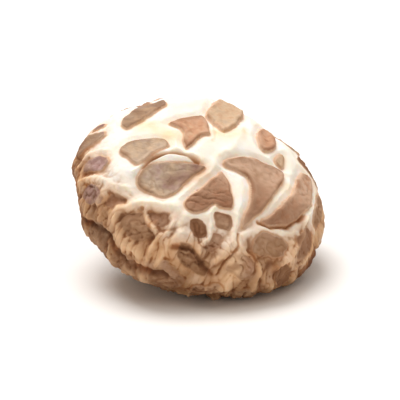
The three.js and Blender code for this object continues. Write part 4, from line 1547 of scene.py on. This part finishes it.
@dataclass(frozen=True)
class CapFinish:
    """Dried mushroom cap: papery brown skin over chalky flesh, air-dried.

    It gives the eye matt warm browns that change from plate to plate, and cream cracks that turn tan towards
    the rim, partly with ageing and partly as painted shade. The dark mark, which holds painted shade in
    creases, wrinkles, valleys, hollows, at plate edges and on the front, with darker plates and speckles, is
    a power of a brown shade that is laid over the colour, so that creases and other painted shade stay warm.
    """

    umber: str = "#94694A"
    brown: str = "#B48F70"
    warm: str = "#CEAC93"
    rust: str = "#CB9978"
    tan: str = "#DCC0A0"
    grey: str = "#C0AB96"
    plum: str = "#B39493"
    # Paler skin at a plate's edge: its own pinkish tint, with painted highlight
    edge: str = "#EFCFB4"
    # Browner skin lower down: ageing, with painted shade of the lower side
    aged_and_shaded_skin: str = "#996C40"
    cream: str = "#FFF9F0"
    # Tan flesh lower down: ageing, with painted shade of the lower side
    aged_and_shaded_flesh: str = "#D8AC82"
    butter: str = "#FCEBD8"
    # Paler flesh beside a plate's edge: its own pinkish tint, with painted highlight
    torn: str = "#FADFC8"
    stain: str = "#F4DFBB"
    ridge: str = "#FFF1DF"
    # Tan ridges lower down: ageing, with painted shade of the lower side
    aged_and_shaded_ridge: str = "#E6C29C"
    # Brown of the rim: its own browning, with painted shade of the underside
    rim: str = "#865C36"
    flesh_shade: str = "#A87450"
    skin_shade: str = "#9C7E68"
    patch_mm: float = 5.6
    mottle_mm: float = 1.4
    grain_mm: float = 0.35
    dust_mm: float = 0.14
    bump_mm: float = 0.11
    coarseness: float = 0.6
    roughness: float = 0.78

    def make(self) -> bpy.types.Material:
        """Make the material.

        Returns:
            A material that reads the marks skin, tone, edge, stain, age, rim, dark and pale of the mesh.
        """
        rough = self.coarseness
        recipe = (
            ("patch", Kind.NOISE, "place", per_metre(self.patch_mm), 2.0, rough),
            ("mottle", Kind.NOISE, "place", per_metre(self.mottle_mm), 4.0, rough),
            ("grain", Kind.NOISE, "place", per_metre(self.grain_mm), 3.0, rough),
            ("dust", Kind.NOISE, "place", per_metre(self.dust_mm), 2.0, rough),
            # The skin: its tone on the scale of browns, paler towards a plate's edge with its own pinkish
            # tint and painted highlight, browner towards the rim with ageing and painted shade
            ("tone shift", Kind.RANGE, "patch", *NOISE_SPAN, -0.08, 0.08),
            ("tone mottle", Kind.RANGE, "mottle", *NOISE_SPAN, -0.06, 0.06),
            ("tone shifted", Kind.ADD, "tone", "tone shift"),
            ("tone mottled", Kind.ADD, "tone shifted", "tone mottle"),
            ("brown", Kind.SCALE, "tone mottled"),
            ("torn", Kind.TIMES, "edge", 0.2),
            ("skin torn", Kind.MIX, "torn", "brown", self.edge),
            ("old mottle", Kind.RANGE, "mottle", *NOISE_SPAN, 0.0, 0.55),
            ("old base", Kind.ADD, "age", 0.1),
            ("old", Kind.TIMES, "old base", "old mottle"),
            ("skin colour", Kind.MIX, "old", "skin torn", self.aged_and_shaded_skin),
            # The flesh: cream with buttery patches and a few stains, tan towards the rim with ageing and
            # painted shade
            ("butter", Kind.RANGE, "patch", *NOISE_SPAN, -0.2, 0.9),
            ("flesh fresh", Kind.MIX, "butter", self.cream, self.butter),
            ("flesh torn", Kind.MIX, "torn", "flesh fresh", self.torn),
            ("flesh stained", Kind.MIX, "stain", "flesh torn", self.stain),
            ("age shift", Kind.RANGE, "patch", *NOISE_SPAN, -0.25, 0.25),
            ("age patches", Kind.TIMES, "age shift", "age"),
            ("aged", Kind.ADD, "age", "age patches"),
            ("flesh colour", Kind.MIX, "aged", "flesh stained", self.aged_and_shaded_flesh),
            # Both together, with the rim darkened by its own browning and by painted shade, the pale ridges
            # with painted highlight on the crests, and painted shade in the creases and hollows
            ("bare colour", Kind.MIX, "skin", "flesh colour", "skin colour"),
            ("rim patches", Kind.RANGE, "patch", *NOISE_SPAN, 0.5, 0.9),
            ("rim share", Kind.TIMES, "rim", "rim patches"),
            ("rim colour", Kind.MIX, "rim share", "bare colour", self.rim),
            ("crest age", Kind.TIMES, "age", "age"),
            ("crest", Kind.MIX, "crest age", self.ridge, self.aged_and_shaded_ridge),
            ("crest colour", Kind.MIX, "pale", "rim colour", "crest"),
            # Painted shade: a brown shade raised to the power of the dark mark and laid over the colour
            ("shade", Kind.MIX, "skin", self.flesh_shade, self.skin_shade),
            ("crease", Kind.POWER, "shade", "dark"),
            ("colour", Kind.SHADE, 1.0, "crest colour", "crease"),
            # The grain in the light: a dry skin is never even
            ("rough", Kind.RANGE, "grain", *NOISE_SPAN, self.roughness - 0.1, self.roughness + 0.1),
            ("grain height", Kind.RANGE, "grain", *NOISE_SPAN, 0.0, 1.0),
            ("dust height", Kind.RANGE, "dust", *NOISE_SPAN, 0.0, 0.5),
            ("height", Kind.ADD, "grain height", "dust height"),
            ("normal", Kind.BUMP, "height", 0.6, self.bump_mm * MM),
            ("glow", Kind.RANGE, "skin", 0.0, 1.0, 0.5, 0.1),
        )
        surface = {
            "Base Color": "colour",
            "Roughness": "rough",
            "Normal": "normal",
            "Subsurface Weight": "glow",
            "Subsurface Radius": (1.0, 0.7, 0.45),
            "Subsurface Scale": 1.2 * MM,
            "IOR": 1.4,
            "Specular IOR Level": 0.35,
        }
        marks = ("skin", "tone", "edge", "stain", "age", "rim", "dark", "pale")
        material = make_material("dried shiitake skin and flesh", marks, recipe, surface)
        stops = material.node_tree.nodes["Color Ramp"].color_ramp.elements
        colours = (self.umber, self.brown, self.warm, self.rust, self.tan, self.grey, self.plum)
        for tone in list(Tone)[1:-1]:
            stops.new(tone.value)
        for stop, tone, colour in zip(stops, Tone, colours):
            stop.position = tone.value
            stop.color = linear(colour)
        return material


@dataclass(frozen=True)
class GillFinish:
    """Dried gills: thin brittle blades, ochre on their edges as painted light and darker in the depth
    between them as painted shade.
    """

    light: str = "#CDA877"
    dark: str = "#7A5433"
    patch_mm: float = 4.8
    grain_mm: float = 0.6
    bump_mm: float = 0.05

    def make(self) -> bpy.types.Material:
        """Make the material.

        Returns:
            A material that reads the mark lit of the mesh.
        """
        recipe = (
            ("grain", Kind.NOISE, "place", per_metre(self.grain_mm), 3.0, 0.5),
            ("patch", Kind.NOISE, "place", per_metre(self.patch_mm), 2.0, 0.5),
            ("edge", Kind.TIMES, "lit", "grain"),
            ("share", Kind.TIMES_ADD, "patch", 0.6, "edge"),
            ("colour", Kind.MIX, "share", self.dark, self.light),
            ("normal", Kind.BUMP, "grain", 0.4, self.bump_mm * MM),
        )
        surface = {"Base Color": "colour", "Normal": "normal", "Roughness": 0.8}
        return make_material("dried gills", ("lit",), recipe, surface)


@dataclass(frozen=True)
class StemFinish:
    """Dried stem: tough tan fibres along its length, browner in the grooves as painted shade, paler where it
    is cut.
    """

    light: str = "#D2AE84"
    dark: str = "#98704A"
    core: str = "#DCC19A"
    patch_mm: float = 3.0
    grain_mm: float = 0.5
    bump_mm: float = 0.08

    def make(self) -> bpy.types.Material:
        """Make the material.

        Returns:
            A material that reads the marks fibre and cut of the mesh.
        """
        recipe = (
            ("grain", Kind.NOISE, "place", per_metre(self.grain_mm), 4.0, 0.5),
            ("patch", Kind.NOISE, "place", per_metre(self.patch_mm), 2.0, 0.5),
            # Painted shade in the grooves, over patches of the stem's own browner tan
            ("groove", Kind.TIMES_ADD, "patch", 0.5, "fibre"),
            ("wall", Kind.MIX, "groove", self.light, self.dark),
            ("end", Kind.MIX, "grain", self.light, self.core),
            ("colour", Kind.MIX, "cut", "wall", "end"),
            ("normal", Kind.BUMP, "grain", 0.5, self.bump_mm * MM),
        )
        surface = {"Base Color": "colour", "Normal": "normal", "Roughness": 0.82}
        return make_material("dried stem fibre", ("fibre", "cut"), recipe, surface)


@dataclass(frozen=True)
class FloorFinish:
    """Matt white paper sweep: even and without gloss, so that only soft shadows show on it."""

    white: str = "#F7F6F4"

    def make(self) -> bpy.types.Material:
        """Give a plain material for the floor."""
        surface = {"Base Color": self.white, "Roughness": 0.95, "Specular IOR Level": 0.1}
        return make_material("matt white paper", (), (), surface)


@dataclass
class Studio:
    """A pale floor, soft light from above, and a camera a little above the mushroom."""

    elevation: float = math.radians(20.0)
    distance: float = 0.5
    view_width: float = 0.077
    aim: tuple[float, float, float] = (0.0, 0.0, 0.0135)
    floor_side: float = 3.0
    window_strength: float = 2.3
    window_spread: float = math.radians(42.0)
    window_colour: str = "#FBFBFD"
    window_rays: tuple[float, float, float] = (0.25, -0.4, -1.0)
    panel_side: float = 1.3
    panel_watts: float = 4.7
    panel_place: tuple[float, float, float] = (0.0, 0.1, 1.0)
    room_strength: float = 0.47
    room_colour: str = "#FFF3E6"

    def build(self) -> None:
        """Build the floor, the lights and the camera."""
        side = self.floor_side / 2.0
        corners = np.array([[-side, -side, 0.0], [side, -side, 0.0], [side, side, 0.0], [-side, side, 0.0]])
        floor = make_object("floor", corners, [(0, 1, 2, 3)])
        floor.data.materials.append(FloorFinish().make())
        self.lights()
        self.room()
        self.camera()

    def put(self, name: str, data: bpy.types.ID, place: Vector, facing: Vector) -> bpy.types.Object:
        """Put a light or a camera in the scene.

        Args:
            name: Its name.
            data: The light or the camera.
            place: Where it is, in metres.
            facing: The direction that it faces.

        Returns:
            The new object.
        """
        thing = bpy.data.objects.new(name, data)
        thing.location = place
        thing.rotation_euler = facing.to_track_quat("-Z", "Y").to_euler()
        bpy.context.scene.collection.objects.link(thing)
        return thing

    def lights(self) -> None:
        """Let in the wide daylight of a window at the upper left, and hang a soft panel overhead."""
        window = bpy.data.lights.new("window", "SUN")
        window.energy = self.window_strength
        window.angle = self.window_spread
        window.color = linear(self.window_colour)[:3]
        self.put("window", window, Vector(), Vector(self.window_rays))
        panel = bpy.data.lights.new("overhead", "AREA")
        panel.size = self.panel_side
        panel.energy = self.panel_watts
        place = Vector(self.panel_place)
        self.put("overhead", panel, place, Vector(self.aim) - place)

    def room(self) -> None:
        """Fill the shadows with the faint warm light of a white room."""
        world = bpy.data.worlds.new("white room")
        world.use_nodes = True
        background = world.node_tree.nodes["Background"]
        background.inputs["Color"].default_value = linear(self.room_colour)
        background.inputs["Strength"].default_value = self.room_strength
        bpy.context.scene.world = world
        bpy.context.scene.view_settings.view_transform = "Standard"

    def camera(self) -> None:
        """Set the camera up in front of the mushroom, looking a little down on it."""
        data = bpy.data.cameras.new("camera")
        data.lens = data.sensor_width * self.distance / self.view_width
        data.clip_start = 0.01
        away = Vector((0.0, -math.cos(self.elevation), math.sin(self.elevation)))
        place = Vector(self.aim) + away * self.distance
        bpy.context.scene.camera = self.put("camera", data, place, -away)


def main() -> None:
    """Build the studio and the mushroom, piece by piece."""
    logging.basicConfig(level=logging.INFO, format="%(name)s: %(message)s")
    Studio().build()
    lie = Lie()
    builders = (
        (Cap(form=CapForm(), lie=lie, skin=Skin()), CapFinish()),
        (Gills(lie=lie), GillFinish()),
        (Stem(lie=lie), StemFinish()),
    )
    for builder, finish in builders:
        material = finish.make()
        for piece in builder.build():
            mount(piece, material)
            mesh = piece.data
            LOG.info("%s: %d vertices, %d faces", piece.name, len(mesh.vertices), len(mesh.polygons))


if __name__ == "__main__":
    main()
